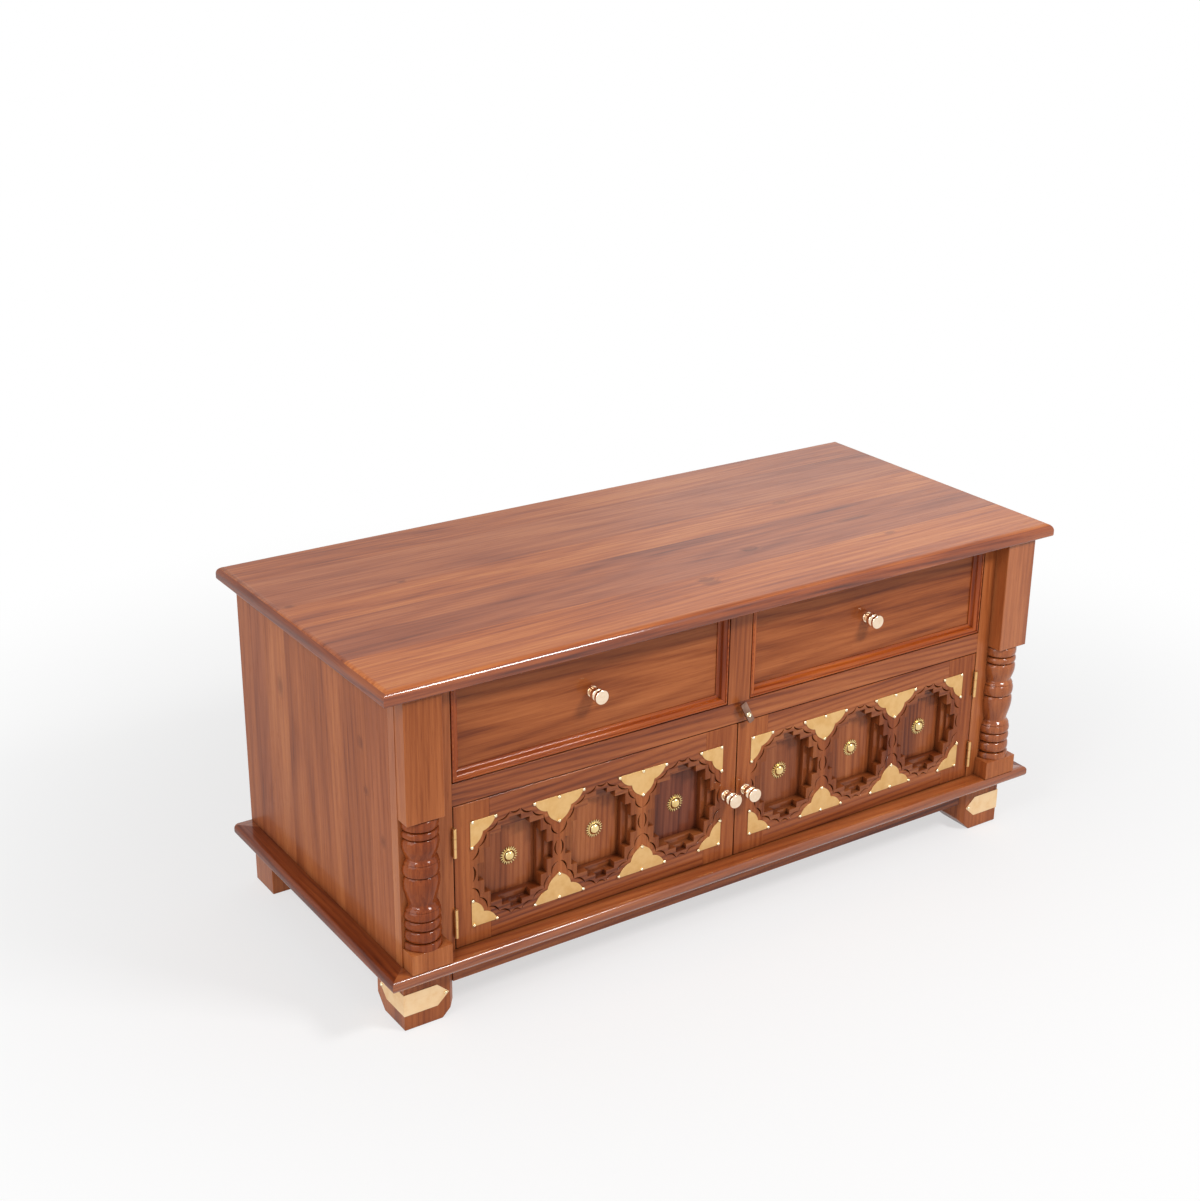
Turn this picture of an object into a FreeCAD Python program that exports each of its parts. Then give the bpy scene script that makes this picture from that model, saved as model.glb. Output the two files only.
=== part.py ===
import FreeCAD, Part
import os
import re

import Sketcher
from FreeCAD import Vector

# Low carved chest: two drawers over two panelled doors.
# +X runs along the length, -Y is the front, +Z is up, the floor is z = 0.

doc = FreeCAD.newDocument("carved_chest")
sheet = doc.addObject("Spreadsheet::Sheet", "Sizes")

SIZES = (
    # top and carcass
    ("top_length", 1150.0),
    ("top_depth", 515.0),
    ("top_thick", 20.0),
    ("top_round", 8.0),
    ("front_overhang", 32.5),
    ("end_overhang", 29.0),
    ("carcass_height", 396.0),
    ("side_thick", 20.0),
    ("back_thick", 10.0),
    ("frame_thick", 18.0),
    ("stile_width", 80.0),
    ("door_opening_height", 216.0),
    ("rail_height", 32.0),
    ("mullion_width", 38.0),
    ("dust_thick", 18.0),
    ("guide_width", 20.0),
    ("guide_height", 22.0),
    ("stop_thick", 12.0),
    ("stop_height", 28.0),
    ("stop_gap", 0.5),
    # base, feet and their brass
    ("base_overhang", 29.0),
    ("base_reach", 27.5),
    ("base_thick", 18.0),
    ("base_round", 7.0),
    ("foot_height", 84.0),
    ("foot_width", 78.0),
    ("foot_inset", 2.0),
    ("foot_setback", 3.0),
    ("foot_clip", 20.0),
    ("foot_bevel", 8.0),
    ("back_foot_width", 60.0),
    ("apron_height", 37.0),
    ("apron_thick", 20.0),
    ("apron_setback", 6.0),
    ("brass_thick", 0.8),
    ("foot_cap_height", 33.0),
    ("foot_cap_lift", 23.0),
    ("foot_cap_margin", 10.0),
    ("foot_cap_point", 18.0),
    # split turned posts
    ("post_width", 54.5),
    ("post_inset", 1.5),
    ("block_height", 176.0),
    ("block_reach", 25.0),
    ("plinth_width", 60.5),
    ("plinth_height", 29.0),
    ("plinth_reach", 26.0),
    ("column_radius", 25.0),
    ("cap_bead", 15.0),
    ("neck_bead", 13.0),
    ("upper_bell", 30.0),
    ("ring_height", 6.0),
    ("collar_bead", 10.0),
    ("foot_bead", 16.5),
    ("foot_ring", 11.0),
    ("base_ring", 14.0),
    ("bead_round", 1.2),
    ("band_step", 0.7),
    ("waist_depth", 4.6),
    # drawers
    ("drawer_gap", 1.5),
    ("drawer_top_gap", 3.0),
    ("panel_sink", 11.0),
    ("drawer_front_thick", 16.0),
    ("moulding_width", 14.0),
    ("drawer_side_thick", 12.0),
    ("drawer_side_drop", 24.5),
    ("drawer_back_gap", 31.5),
    ("drawer_bottom_thick", 6.0),
    ("bottom_lift", 8.0),
    ("bottom_groove", 5.0),
    ("run_gap", 0.5),
    # doors
    ("door_gap", 1.5),
    ("meeting_gap", 2.0),
    ("door_frame_thick", 19.0),
    ("door_panel_thick", 6.0),
    ("niche_pitch", 138.0),
    ("niche_width", 79.0),
    ("niche_height", 103.0),
    ("niche_drop", 1.5),
    ("deep_step", 11.0),
    ("shallow_step", 7.0),
    ("side_reach_deep", 9.5),
    ("side_reach_shallow", 19.3),
    ("side_tall_deep", 67.0),
    ("side_tall_shallow", 26.6),
    ("end_reach_deep", 9.5),
    ("end_reach_shallow", 17.5),
    ("end_wide_deep", 44.6),
    ("end_wide_shallow", 17.6),
    ("plate_margin_side", 24.25),
    ("plate_margin_end", 25.25),
    ("plate_leg", 42.0),
    ("plate_cusp_far", 36.5),
    ("plate_cusp_near", 6.5),
    ("plate_cusp_mid", 19.0),
    ("plate_lobe", 2.6),
    ("washer_radius", 11.4),
    ("washer_thick", 1.0),
    ("ray_reach", 1.9),
    ("dome_radius", 8.4),
    ("dome_height", 6.0),
    # knobs
    ("knob_reach", 26.0),
    ("knob_head_radius", 9.6),
    ("knob_head_thick", 7.0),
    ("knob_neck_radius", 4.2),
    ("knob_flange_radius", 8.5),
    ("knob_flange_thick", 1.8),
    ("stud_radius", 2.4),
    ("stud_length", 12.0),
    ("stud_clearance", 0.1),
    ("door_knob_inset", 16.5),
    ("door_knob_drop", 3.0),
    # butt hinges
    ("leaf_height", 43.0),
    ("leaf_width", 16.0),
    ("leaf_thick", 1.2),
    ("leaf_sink", 1.0),
    ("hinge_upper_inset", 51.5),
    ("hinge_lower_inset", 40.0),
    ("barrel_radius", 2.75),
    ("barrel_stand", 3.1),
    ("knuckle_gap", 0.4),
    ("pin_radius", 1.25),
    ("pin_clearance", 0.05),
    # turn button
    ("button_width", 10.0),
    ("button_thick", 3.0),
    ("button_long", 22.2),
    ("button_short", 14.2),
    ("button_round", 2.0),
    ("button_offset", 10.0),
    ("button_lift", 14.5),
    ("button_tilt", 27.7),
    ("button_play", 0.3),
    ("collar_radius", 4.6),
    ("collar_height", 8.2),
    ("screw_radius", 2.0),
    ("screw_clearance", 0.1),
    ("screw_head_radius", 4.4),
    ("screw_head_height", 2.4),
    ("screw_length", 14.0),
)
RAY_COUNT = 24
NICHES = (-1, 0, 1)
LEFT, RIGHT = -1, 1
SIDES = (("left", LEFT), ("right", RIGHT))

size = {}
for row, (name, value) in enumerate(SIZES, start=1):
    sheet.set(f"A{row}", name)
    sheet.set(f"B{row}", str(value))
    sheet.setAlias(f"B{row}", name)
    size[name] = value
doc.recompute()

# Positions that follow from the sizes.
BACK = "(top_depth / 2)"
FRONT = "(front_overhang - top_depth / 2)"
FRAME_BACK = f"({FRONT} + frame_thick)"
BACK_INNER = f"({BACK} - back_thick)"
BODY_HALF = "(top_length / 2 - end_overhang)"
INNER_HALF = f"({BODY_HALF} - side_thick)"
OPEN_HALF = f"({BODY_HALF} - stile_width)"
BASE_TOP = "(foot_height + base_thick)"
TOP_UNDER = f"({BASE_TOP} + carcass_height)"
RAIL_LOW = f"({BASE_TOP} + door_opening_height)"
RAIL_HIGH = f"({RAIL_LOW} + rail_height)"
FOOT_FRONT = f"({FRONT} + foot_setback)"
FOOT_OUT = f"({BODY_HALF} - foot_inset)"
POST_MID = f"({BODY_HALF} - post_inset - post_width / 2)"

DRAWER_IN = "(mullion_width / 2 + drawer_gap)"
DRAWER_OUT = f"({OPEN_HALF} - drawer_gap)"
DRAWER_MID = f"(({DRAWER_IN} + {DRAWER_OUT}) / 2)"
DRAWER_WIDE = f"({DRAWER_OUT} - {DRAWER_IN})"
DRAWER_LOW = f"({RAIL_HIGH} + drawer_gap)"
DRAWER_HIGH = f"({TOP_UNDER} - drawer_top_gap)"
DRAWER_CZ = f"(({DRAWER_LOW} + {DRAWER_HIGH}) / 2)"
DRAWER_TALL = f"({DRAWER_HIGH} - {DRAWER_LOW})"
PANEL_FACE = f"({FRONT} + panel_sink)"
BOX_FRONT = f"({PANEL_FACE} + drawer_front_thick)"
BOX_BACK = f"({BACK_INNER} - drawer_back_gap)"
BOX_LOW = f"({RAIL_HIGH} + run_gap)"
BOX_TALL = f"({DRAWER_HIGH} - drawer_side_drop - {BOX_LOW})"
BOTTOM_LOW = f"({BOX_LOW} + bottom_lift)"
BOTTOM_HIGH = f"({BOTTOM_LOW} + drawer_bottom_thick)"

DOOR_IN = "(meeting_gap / 2)"
DOOR_OUT = f"({OPEN_HALF} - door_gap)"
DOOR_MID = f"(({DOOR_IN} + {DOOR_OUT}) / 2)"
DOOR_LOW = f"({BASE_TOP} + door_gap)"
DOOR_HIGH = f"({RAIL_LOW} - door_gap)"
DOOR_CZ = f"(({DOOR_LOW} + {DOOR_HIGH}) / 2)"
NICHE_Z = f"({DOOR_CZ} - niche_drop)"
NICHE_LOW = f"({NICHE_Z} - niche_height / 2)"
NICHE_HIGH = f"({NICHE_Z} + niche_height / 2)"
PLATE_HALF = f"(({DOOR_OUT} - {DOOR_IN}) / 2 - plate_margin_side)"
PLATE_RISE = f"({NICHE_Z} - {DOOR_LOW} - plate_margin_end)"
STILE_EDGE_OUT = f"({DOOR_MID} + niche_pitch + niche_width / 2)"
STILE_EDGE_IN = f"({DOOR_MID} - niche_pitch - niche_width / 2)"
DOOR_PANEL_FACE = f"({FRONT} + door_frame_thick)"
DOOR_BACK = f"({DOOR_PANEL_FACE} + door_panel_thick)"
HINGE_LINE = f"({OPEN_HALF} - door_gap / 2)"
BARREL_Y = f"({FRONT} - barrel_stand)"
HINGE_BOTTOMS = (
    f"({DOOR_LOW} + hinge_lower_inset - leaf_height / 2)",
    f"({DOOR_HIGH} - hinge_upper_inset - leaf_height / 2)",
)
BUTTON_Z = f"({RAIL_LOW} + button_lift)"
DOOR_KNOB_X = f"({DOOR_IN} + door_knob_inset)"
DOOR_KNOB_Z = f"({DOOR_CZ} - door_knob_drop)"


def cells(text):
    """Turn size names in an expression into references to the sheet."""
    def swap(match):
        word = match.group()
        return f"Sizes.{word}" if word in size else word
    return re.sub(r"[a-z_]+", swap, text)


def bind(thing, prop, text):
    """Bind one property of an object to an expression of size names."""
    thing.setExpression(prop, cells(text))


def place(thing, x="0", y="0", z="0"):
    """Bind the base point of an object's placement."""
    for axis, text in zip("xyz", (x, y, z)):
        if text != "0":
            bind(thing, f"Placement.Base.{axis}", text)


def mirrored(side, text):
    """Expression for a distance from the middle plane, on one side of it."""
    return f"({text})" if side == RIGHT else f"-({text})"


def low_edge(side, inner, outer):
    """Smaller X of a span between two distances from the middle plane."""
    return f"({inner})" if side == RIGHT else f"-({outer})"


def box(label, x, y, z, wide, deep, tall):
    """A squared board: lowest corner and three bound sizes."""
    solid = doc.addObject("Part::Box", label)
    solid.Label = label
    for prop, text in (("Length", wide), ("Width", deep), ("Height", tall)):
        bind(solid, prop, text)
    place(solid, x, y, z)
    return solid


def side_box(label, side, inner, outer, y, z, deep, tall):
    """A board spanning two distances from the middle plane on one side."""
    wide = f"{outer} - {inner}"
    return box(label, low_edge(side, inner, outer), y, z, wide, deep, tall)


def new_body(label, x="0", y="0", z="0"):
    """An empty body with a bound placement."""
    body = doc.addObject("PartDesign::Body", label)
    body.Label = label
    body.AllowCompound = True
    place(body, x, y, z)
    return body


def plane_of(body, role):
    """Origin plane or axis of a body by its role."""
    return next(f for f in body.Origin.OriginFeatures if f.Role == role)


def new_sketch(body, role, name):
    """An empty sketch on one origin plane of a body."""
    sketch = body.newObject("Sketcher::SketchObject", name)
    sketch.AttachmentSupport = [(plane_of(body, role), "")]
    sketch.MapMode = "FlatFace"
    return sketch


def pin_points(sketch, spots):
    """Add construction points whose coordinates are bound expressions."""
    first = len(sketch.Geometry)
    seeds = [Vector(1.0 + n, 2.0 * n + 1.0, 0.0) for n in range(len(spots))]
    sketch.addGeometry([Part.Point(seed) for seed in seeds], True)
    rules, texts = [], []
    for n, (spot, seed) in enumerate(zip(spots, seeds), start=first):
        for kind, text, start, axis in (("DistanceX", spot[0], seed.x, -2),
                                        ("DistanceY", spot[1], seed.y, -1)):
            if text == "0":
                rules.append(Sketcher.Constraint("PointOnObject", n, 1, axis))
            else:
                rules.append(Sketcher.Constraint(kind, -1, 1, n, 1, start))
            texts.append(text)
    base = sketch.ConstraintCount
    sketch.addConstraint(rules)
    for n, text in enumerate(texts, start=base):
        if text != "0":
            sketch.setExpression(f"Constraints[{n}]", cells(text))
    doc.recompute()
    return [Vector(g.X, g.Y, 0) for g in sketch.Geometry]


def arc_through(start, via, end):
    """Counter-clockwise arc through three points, and which of its ends is the start."""
    bend = Part.Circle(start, via, end)
    ring = Part.Circle(bend.Center, Vector(0, 0, 1), bend.Radius)
    leftward = (via - start).cross(end - via).z > 0
    first, last = (start, end) if leftward else (end, start)
    arc = Part.ArcOfCircle(ring, ring.parameter(first), ring.parameter(last))
    return arc, 1 if leftward else 2


def draw(body, role, name, outlines):
    """Sketch closed outlines; a point (x, y) is a corner, (x, y, "via") lies on an arc."""
    sketch = new_sketch(body, role, name)
    spots = pin_points(sketch, [point for line in outlines for point in line])
    edges, ties = [], []
    base = 0
    for line in outlines:
        corners = [n for n, point in enumerate(line) if len(point) == 2]
        for here, after in zip(corners, corners[1:] + corners[:1]):
            start, end = base + here, base + after
            middle = base + (here + 1) % len(line)
            curved = len(line[middle - base]) == 3
            edge = len(spots) + len(edges)
            if curved:
                arc, first = arc_through(spots[start], spots[middle], spots[end])
                edges.append(arc)
                ties.append(Sketcher.Constraint("PointOnObject", middle, 1, edge))
            else:
                first = 1
                edges.append(Part.LineSegment(spots[start], spots[end]))
            ties.append(Sketcher.Constraint("Coincident", edge, first, start, 1))
            ties.append(Sketcher.Constraint("Coincident", edge, 3 - first, end, 1))
        base += len(line)
    sketch.addGeometry(edges, False)
    sketch.addConstraint(ties)
    return sketch


def circle(body, role, name, centres, radius):
    """Sketch equal circles with bound centres and radius."""
    sketch = new_sketch(body, role, name)
    for point, centre in enumerate(pin_points(sketch, centres)):
        ring = sketch.addGeometry(Part.Circle(centre, Vector(0, 0, 1), 2.0), False)
        sketch.addConstraint(Sketcher.Constraint("Coincident", ring, 3, point, 1))
        rule = sketch.addConstraint(Sketcher.Constraint("Radius", ring, 2.0))
        sketch.setExpression(f"Constraints[{rule}]", cells(radius))
    doc.recompute()
    return sketch


def rect(x_low, x_high, y_low, y_high):
    """Outline of a rectangle between bound edges."""
    return [(x_low, y_low), (x_high, y_low), (x_high, y_high), (x_low, y_high)]


def feature(body, kind, name, sketch, length, back=False):
    """Pad or pocket a sketch by a bound length and move the tip to it."""
    step = body.newObject(f"PartDesign::{kind}", name)
    step.Profile = sketch
    step.Reversed = back
    bind(step, "Length", length)
    doc.recompute()
    body.Tip = step
    return step


def slab(label, outlines, thick, y=FRONT, x="0", z="0"):
    """A board drawn in front view, its thickness running back from its face."""
    body = new_body(label, x, y, z)
    feature(body, "Pad", f"{label}_pad", draw(body, "XZ_Plane", f"{label}_face", outlines), thick, True)
    return body


def recess(body, name, outlines, depth):
    """Cut outlines drawn in front view into the front face of a slab."""
    return feature(body, "Pocket", name, draw(body, "XZ_Plane", f"{name}_face", outlines), depth)


def bore(body, name, centres, radius, depth):
    """Drill equal round holes into the front face of a slab."""
    return feature(body, "Pocket", name, circle(body, "XZ_Plane", f"{name}_face", centres, radius), depth)


def turn(body, name, sketch, angle, back=False):
    """Turn a profile about the upright axis of its sketch."""
    step = body.newObject("PartDesign::Revolution", name)
    step.Profile = sketch
    step.ReferenceAxis = (sketch, ["V_Axis"])
    step.Angle = angle
    step.Reversed = back
    doc.recompute()
    body.Tip = step
    return step


def soften(body, name, kind, radius, wanted):
    """Fillet or chamfer the edges of the tip that a rule picks."""
    tip = body.Tip
    names = [f"Edge{n}" for n, edge in enumerate(tip.Shape.Edges, start=1) if wanted(edge)]
    step = body.newObject(f"PartDesign::{kind}", name)
    step.Base = (tip, names)
    bind(step, "Radius" if kind == "Fillet" else "Size", radius)
    doc.recompute()
    body.Tip = step
    return step


def group(label, members):
    """Several solids that share one named part."""
    bundle = doc.addObject("Part::Compound", label)
    bundle.Label = label
    bundle.Links = members
    return bundle


def rod(name, x, y, z, radius, height):
    """An upright round rod."""
    solid = doc.addObject("Part::Cylinder", name)
    bind(solid, "Radius", radius)
    bind(solid, "Height", height)
    place(solid, x, y, z)
    return solid


def rounded_board(label, length, depth, thick, radius, y, z):
    """A lid board with its front and end edges rounded, its back edge square."""
    half = f"({length}) / 2"
    body = new_body(label, y=y, z=z)
    outline = rect(f"-({half})", half, "0", depth)
    feature(body, "Pad", f"{label}_pad", draw(body, "XY_Plane", f"{label}_plan", [outline]), thick)
    bounds = body.Tip.Shape.BoundBox

    def exposed(edge):
        mid = edge.CenterOfMass
        level = edge.BoundBox.ZLength < 1e-6
        return level and mid.y < bounds.YMax - 1e-6

    soften(body, f"{label}_edge", "Fillet", f"min({radius}; {thick} / 2.2)", exposed)
    return body


# Top, base and carcass boards.
rounded_board("top_panel", "top_length", "top_depth", "top_thick", "top_round",
              "-top_depth / 2", TOP_UNDER)
rounded_board("base_slab", f"2 * ({BODY_HALF} + base_overhang)", f"{BACK} - {FRONT} + base_reach",
              "base_thick", "base_round", f"{FRONT} - base_reach", "foot_height")

for word, side in SIDES:
    side_box(f"{word}_side_panel", side, INNER_HALF, BODY_HALF, FRAME_BACK, BASE_TOP,
             f"{BACK} - {FRAME_BACK}", "carcass_height")
    stile = slab(f"{word}_stile", [rect(mirrored(side, OPEN_HALF), mirrored(side, BODY_HALF),
                                        BASE_TOP, TOP_UNDER)], "frame_thick")
    recess(stile, f"{word}_stile_mortise",
           [rect(mirrored(side, OPEN_HALF), mirrored(side, f"{OPEN_HALF} + leaf_sink"),
                 low, f"{low} + leaf_height") for low in HINGE_BOTTOMS], "leaf_width")

box("back_panel", f"-{INNER_HALF}", BACK_INNER, BASE_TOP,
    f"2 * {INNER_HALF}", "back_thick", "carcass_height")
rail = slab("middle_rail", [rect(f"-{OPEN_HALF}", OPEN_HALF, RAIL_LOW, RAIL_HIGH)], "frame_thick")
bore(rail, "button_hole", [("button_offset", BUTTON_Z)], "screw_radius + screw_clearance",
     "screw_length")
box("drawer_mullion", "-mullion_width / 2", FRONT, RAIL_HIGH,
    "mullion_width", "frame_thick", f"{TOP_UNDER} - {RAIL_HIGH}")
box("dust_board", f"-{INNER_HALF}", FRAME_BACK, f"{RAIL_HIGH} - dust_thick",
    f"2 * {INNER_HALF}", f"{BACK_INNER} - {FRAME_BACK}", "dust_thick")

GUIDE_RUN = f"{BACK_INNER} - {FRAME_BACK}"
group("drawer_guides", [
    side_box("left_guide", LEFT, OPEN_HALF, f"({OPEN_HALF} + guide_width)", FRAME_BACK,
             RAIL_HIGH, GUIDE_RUN, "guide_height"),
    box("centre_guide", "-mullion_width / 2", FRAME_BACK, RAIL_HIGH,
        "mullion_width", GUIDE_RUN, "guide_height"),
    side_box("right_guide", RIGHT, OPEN_HALF, f"({OPEN_HALF} + guide_width)", FRAME_BACK,
             RAIL_HIGH, GUIDE_RUN, "guide_height"),
])
box("door_stop", f"-{OPEN_HALF}", f"{DOOR_BACK} + stop_gap",
    f"{RAIL_HIGH} - dust_thick - stop_height", f"2 * {OPEN_HALF}", "stop_thick", "stop_height")


# Split turned posts on the stiles.
def bead(edge, swell, high, low):
    """Half-round bead of a turned profile between two heights."""
    return [(edge, high), (swell, f"({high} + {low}) / 2", "via"), (edge, low)]


def bell(edge, swell, waist, high, tall):
    """Bell of a turned profile: rounded shoulder drawn in to a hollow waist."""
    return [
        (edge, high),
        (swell, f"{high} - 0.28 * {tall}", "via"),
        (f"{swell} - 0.22 * waist_depth", f"{high} - 0.50 * {tall}"),
        (f"{swell} - 0.84 * waist_depth", f"{high} - 0.76 * {tall}", "via"),
        (waist, f"{high} - {tall}"),
    ]


def column_profile():
    """Outline of the half column from the block down to the plinth."""
    swell = "column_radius"
    edge = "(column_radius - bead_round)"
    band = "(column_radius - band_step)"
    waist = "(column_radius - waist_depth)"
    low = f"({BASE_TOP} + plinth_height)"
    high = f"({TOP_UNDER} - block_height)"
    fixed = ("cap_bead + neck_bead + upper_bell + 4 * ring_height + 2 * collar_bead"
             " + foot_bead + foot_ring + base_ring")
    lower_bell = f"({high} - {low} - ({fixed}))"
    rows = (
        ("bead", "cap_bead"), ("bead", "neck_bead"),
        ("bell", "upper_bell"), (band, "ring_height"), (swell, "ring_height"), ("bead", "collar_bead"),
        ("bell", lower_bell), (band, "ring_height"), (swell, "ring_height"), ("bead", "collar_bead"),
        ("bead", "foot_bead"), ("bead", "foot_ring"), ("bead", "base_ring"),
    )
    path = [("0", high)]
    level = high
    for kind, tall in rows:
        under = f"({level} - {tall})"
        if kind == "bead":
            points = bead(edge, swell, level, under)
        elif kind == "bell":
            points = bell(edge, swell, waist, level, tall)
        else:
            points = [(kind, level), (kind, under)]
        path += points[1:] if path[-1] == points[0] else points
        level = under
    path[-1] = (edge, low)
    return path + [("0", low)]


for word, side in SIDES:
    label = f"{word}_post"
    post = new_body(label, mirrored(side, POST_MID), FRONT)
    turn(post, f"{label}_column", draw(post, "XZ_Plane", f"{label}_profile", [column_profile()]), 180, True)
    block = rect("-post_width / 2", "post_width / 2", f"{TOP_UNDER} - block_height", TOP_UNDER)
    feature(post, "Pad", f"{label}_block", draw(post, "XZ_Plane", f"{label}_face", [block]), "block_reach")
    plinth_out = f"({BODY_HALF} - post_inset)"
    side_box(f"{word}_plinth", side, f"({plinth_out} - plinth_width)", plinth_out,
             f"{FRONT} - plinth_reach", BASE_TOP, "plinth_reach", "plinth_height")


# Feet, apron and brass foot caps.
for word, side in SIDES:
    inner = f"({FOOT_OUT} - foot_width)"
    label = f"front_{word}_foot"
    outline = [
        (mirrored(side, f"{inner} + foot_clip"), "0"),
        (mirrored(side, FOOT_OUT), "0"),
        (mirrored(side, FOOT_OUT), "foot_height"),
        (mirrored(side, inner), "foot_height"),
        (mirrored(side, inner), "foot_clip"),
    ]
    foot = slab(label, [outline], "foot_width", FOOT_FRONT)
    clip = [("foot_width - foot_clip", "0"), ("foot_width", "0"), ("foot_width", "foot_clip")]
    feature(foot, "Pocket", f"{label}_clip",
            draw(foot, "YZ_Plane", f"{label}_side", [clip]), FOOT_OUT, side == RIGHT)
    reach = min(abs(v.Point.x) for v in foot.Tip.Shape.Vertexes)

    def front_inner(edge):
        upright = edge.BoundBox.ZLength > 0.5 * size["foot_height"]
        return upright and abs(edge.CenterOfMass.y) < 1e-6 and abs(abs(edge.CenterOfMass.x) - reach) < 1e-6

    soften(foot, f"{label}_bevel", "Chamfer", "foot_bevel", front_inner)
    side_box(f"back_{word}_foot", side, f"({FOOT_OUT} - back_foot_width)", FOOT_OUT,
             f"{BACK} - back_foot_width", "0", "back_foot_width", "foot_height")

    label = f"{word}_foot_cap"
    tip = "(foot_width - foot_cap_margin)"
    bend = f"({tip} - foot_cap_point)"
    high = "(foot_cap_lift + foot_cap_height)"
    cap = new_body(label, mirrored(side, FOOT_OUT), FOOT_FRONT)
    front_face = [
        (mirrored(side, "brass_thick"), "foot_cap_lift"),
        (mirrored(side, f"-{bend}"), "foot_cap_lift"),
        (mirrored(side, f"-{tip}"), f"(foot_cap_lift + {high}) / 2"),
        (mirrored(side, f"-{bend}"), high),
        (mirrored(side, "brass_thick"), high),
    ]
    side_face = [
        ("-brass_thick", "foot_cap_lift"),
        (bend, "foot_cap_lift"),
        (tip, f"(foot_cap_lift + {high}) / 2"),
        (bend, high),
        ("-brass_thick", high),
    ]
    feature(cap, "Pad", f"{label}_front", draw(cap, "XZ_Plane", f"{label}_front_face", [front_face]),
            "brass_thick")
    feature(cap, "Pad", f"{label}_side", draw(cap, "YZ_Plane", f"{label}_side_face", [side_face]),
            "brass_thick", side == LEFT)

box("front_apron", f"foot_width - {FOOT_OUT}", f"{FOOT_FRONT} + apron_setback",
    "foot_height - apron_height", f"2 * ({FOOT_OUT} - foot_width)", "apron_thick", "apron_height")


# Knobs: stud, flange, neck and flat mushroom head turned in one piece.
def knob(label, x, y, z):
    """A turned knob whose axis points to the front from (x, y, z)."""
    body = new_body(label, x, y, z)
    head = "(knob_reach - knob_head_thick)"
    profile = [
        ("0", "stud_length"),
        ("stud_radius", "stud_length"),
        ("stud_radius", "0"),
        ("knob_flange_radius", "0"),
        ("knob_flange_radius", "-knob_flange_thick"),
        ("knob_neck_radius", "-knob_flange_thick"),
        ("knob_neck_radius", f"-{head}"),
        ("knob_head_radius", f"-{head} - 0.4 * knob_head_thick"),
        ("knob_head_radius", "-knob_reach"),
        ("0", "-knob_reach"),
    ]
    turn(body, f"{label}_turned", draw(body, "XY_Plane", f"{label}_profile", [profile]), 360)
    return body


# Drawers.
def moulding(label, side):
    """Mitred moulding frame on the face of a drawer front."""
    body = new_body(label, mirrored(side, DRAWER_MID), PANEL_FACE, DRAWER_CZ)
    wide, tall = f"{DRAWER_WIDE} / 2", f"{DRAWER_TALL} / 2"
    corners = [("0", f"-({tall})"), (wide, f"-({tall})"), (wide, tall),
               (f"-({wide})", tall), (f"-({wide})", f"-({tall})")]
    spine = draw(body, "XZ_Plane", f"{label}_spine", [corners])

    def at(share, rise):
        return f"-({tall}) + {share} * moulding_width", f"-{rise} * panel_sink"

    section = [at(0, 0), at(0, 0.93), (*at(0.03, 0.98), "via"), at(0.08, 1), at(0.20, 1), at(0.22, 0.9),
               (*at(0.52, 0.82), "via"), at(0.64, 0.48), at(0.68, 0.40),
               (*at(0.80, 0.19), "via"), at(0.96, 0.12), at(1, 0.12), at(1, 0)]
    flipped = [(point[1], point[0], *point[2:]) for point in section]
    shape = draw(body, "YZ_Plane", f"{label}_section", [flipped])
    ring = body.newObject("PartDesign::AdditivePipe", f"{label}_ring")
    ring.Profile = shape
    ring.Spine = spine
    ring.Transition = "Right corner"
    doc.recompute()
    body.Tip = ring
    return body


def drawer(word, side):
    """One drawer: panelled front with moulding and knob, box behind it."""
    name = f"{word}_drawer"
    front = slab(f"{name}_front", [rect(mirrored(side, DRAWER_IN), mirrored(side, DRAWER_OUT),
                                        DRAWER_LOW, DRAWER_HIGH)], "drawer_front_thick", PANEL_FACE)
    middle = (mirrored(side, DRAWER_MID), DRAWER_CZ)
    bore(front, f"{name}_hole", [middle], "stud_radius + stud_clearance", "stud_length")
    moulding(f"{name}_moulding", side)
    run = f"{BOX_BACK} - {BOX_FRONT}"
    inner = f"({DRAWER_IN} + drawer_side_thick)"
    outer = f"({DRAWER_OUT} - drawer_side_thick)"
    walls = ((DRAWER_IN, inner, f"({inner} - bottom_groove)"), (outer, DRAWER_OUT, outer))
    hands = ("right", "left") if side == LEFT else ("left", "right")
    for hand, (near, far, slot) in zip(hands, walls):
        label = f"{name}_{hand}_side"
        board = side_box(f"{label}_board", side, near, far, BOX_FRONT, BOX_LOW, run, BOX_TALL)
        groove = side_box(f"{label}_groove", side, slot, f"({slot} + bottom_groove)", BOX_FRONT,
                          BOTTOM_LOW, run, "drawer_bottom_thick")
        cut = doc.addObject("Part::Cut", label)
        cut.Label = label
        cut.Base = board
        cut.Tool = groove
    side_box(f"{name}_bottom", side, f"({inner} - bottom_groove)", f"({outer} + bottom_groove)",
             BOX_FRONT, BOTTOM_LOW, run, "drawer_bottom_thick")
    side_box(f"{name}_back", side, inner, outer, f"{BOX_BACK} - drawer_side_thick", BOTTOM_HIGH,
             "drawer_side_thick", f"{BOX_TALL} - bottom_lift - drawer_bottom_thick")
    knob(f"{name}_knob", middle[0], PANEL_FACE, middle[1])


for word, side in SIDES:
    drawer(word, side)


# Doors: stepped niches cut through a joined frame over a thin panel.
def niche_x(step):
    """Distance of a niche centre from the middle plane."""
    return f"({DOOR_MID} + {step} * niche_pitch)"


def side_notch(side, edge, away, reach, tall):
    """Rectangle cut sideways into a member beside a niche."""
    sign = "+" if away > 0 else "-"
    return rect(mirrored(side, edge), mirrored(side, f"{edge} {sign} {reach}"),
                f"{NICHE_Z} - {tall} / 2", f"{NICHE_Z} + {tall} / 2")


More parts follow.
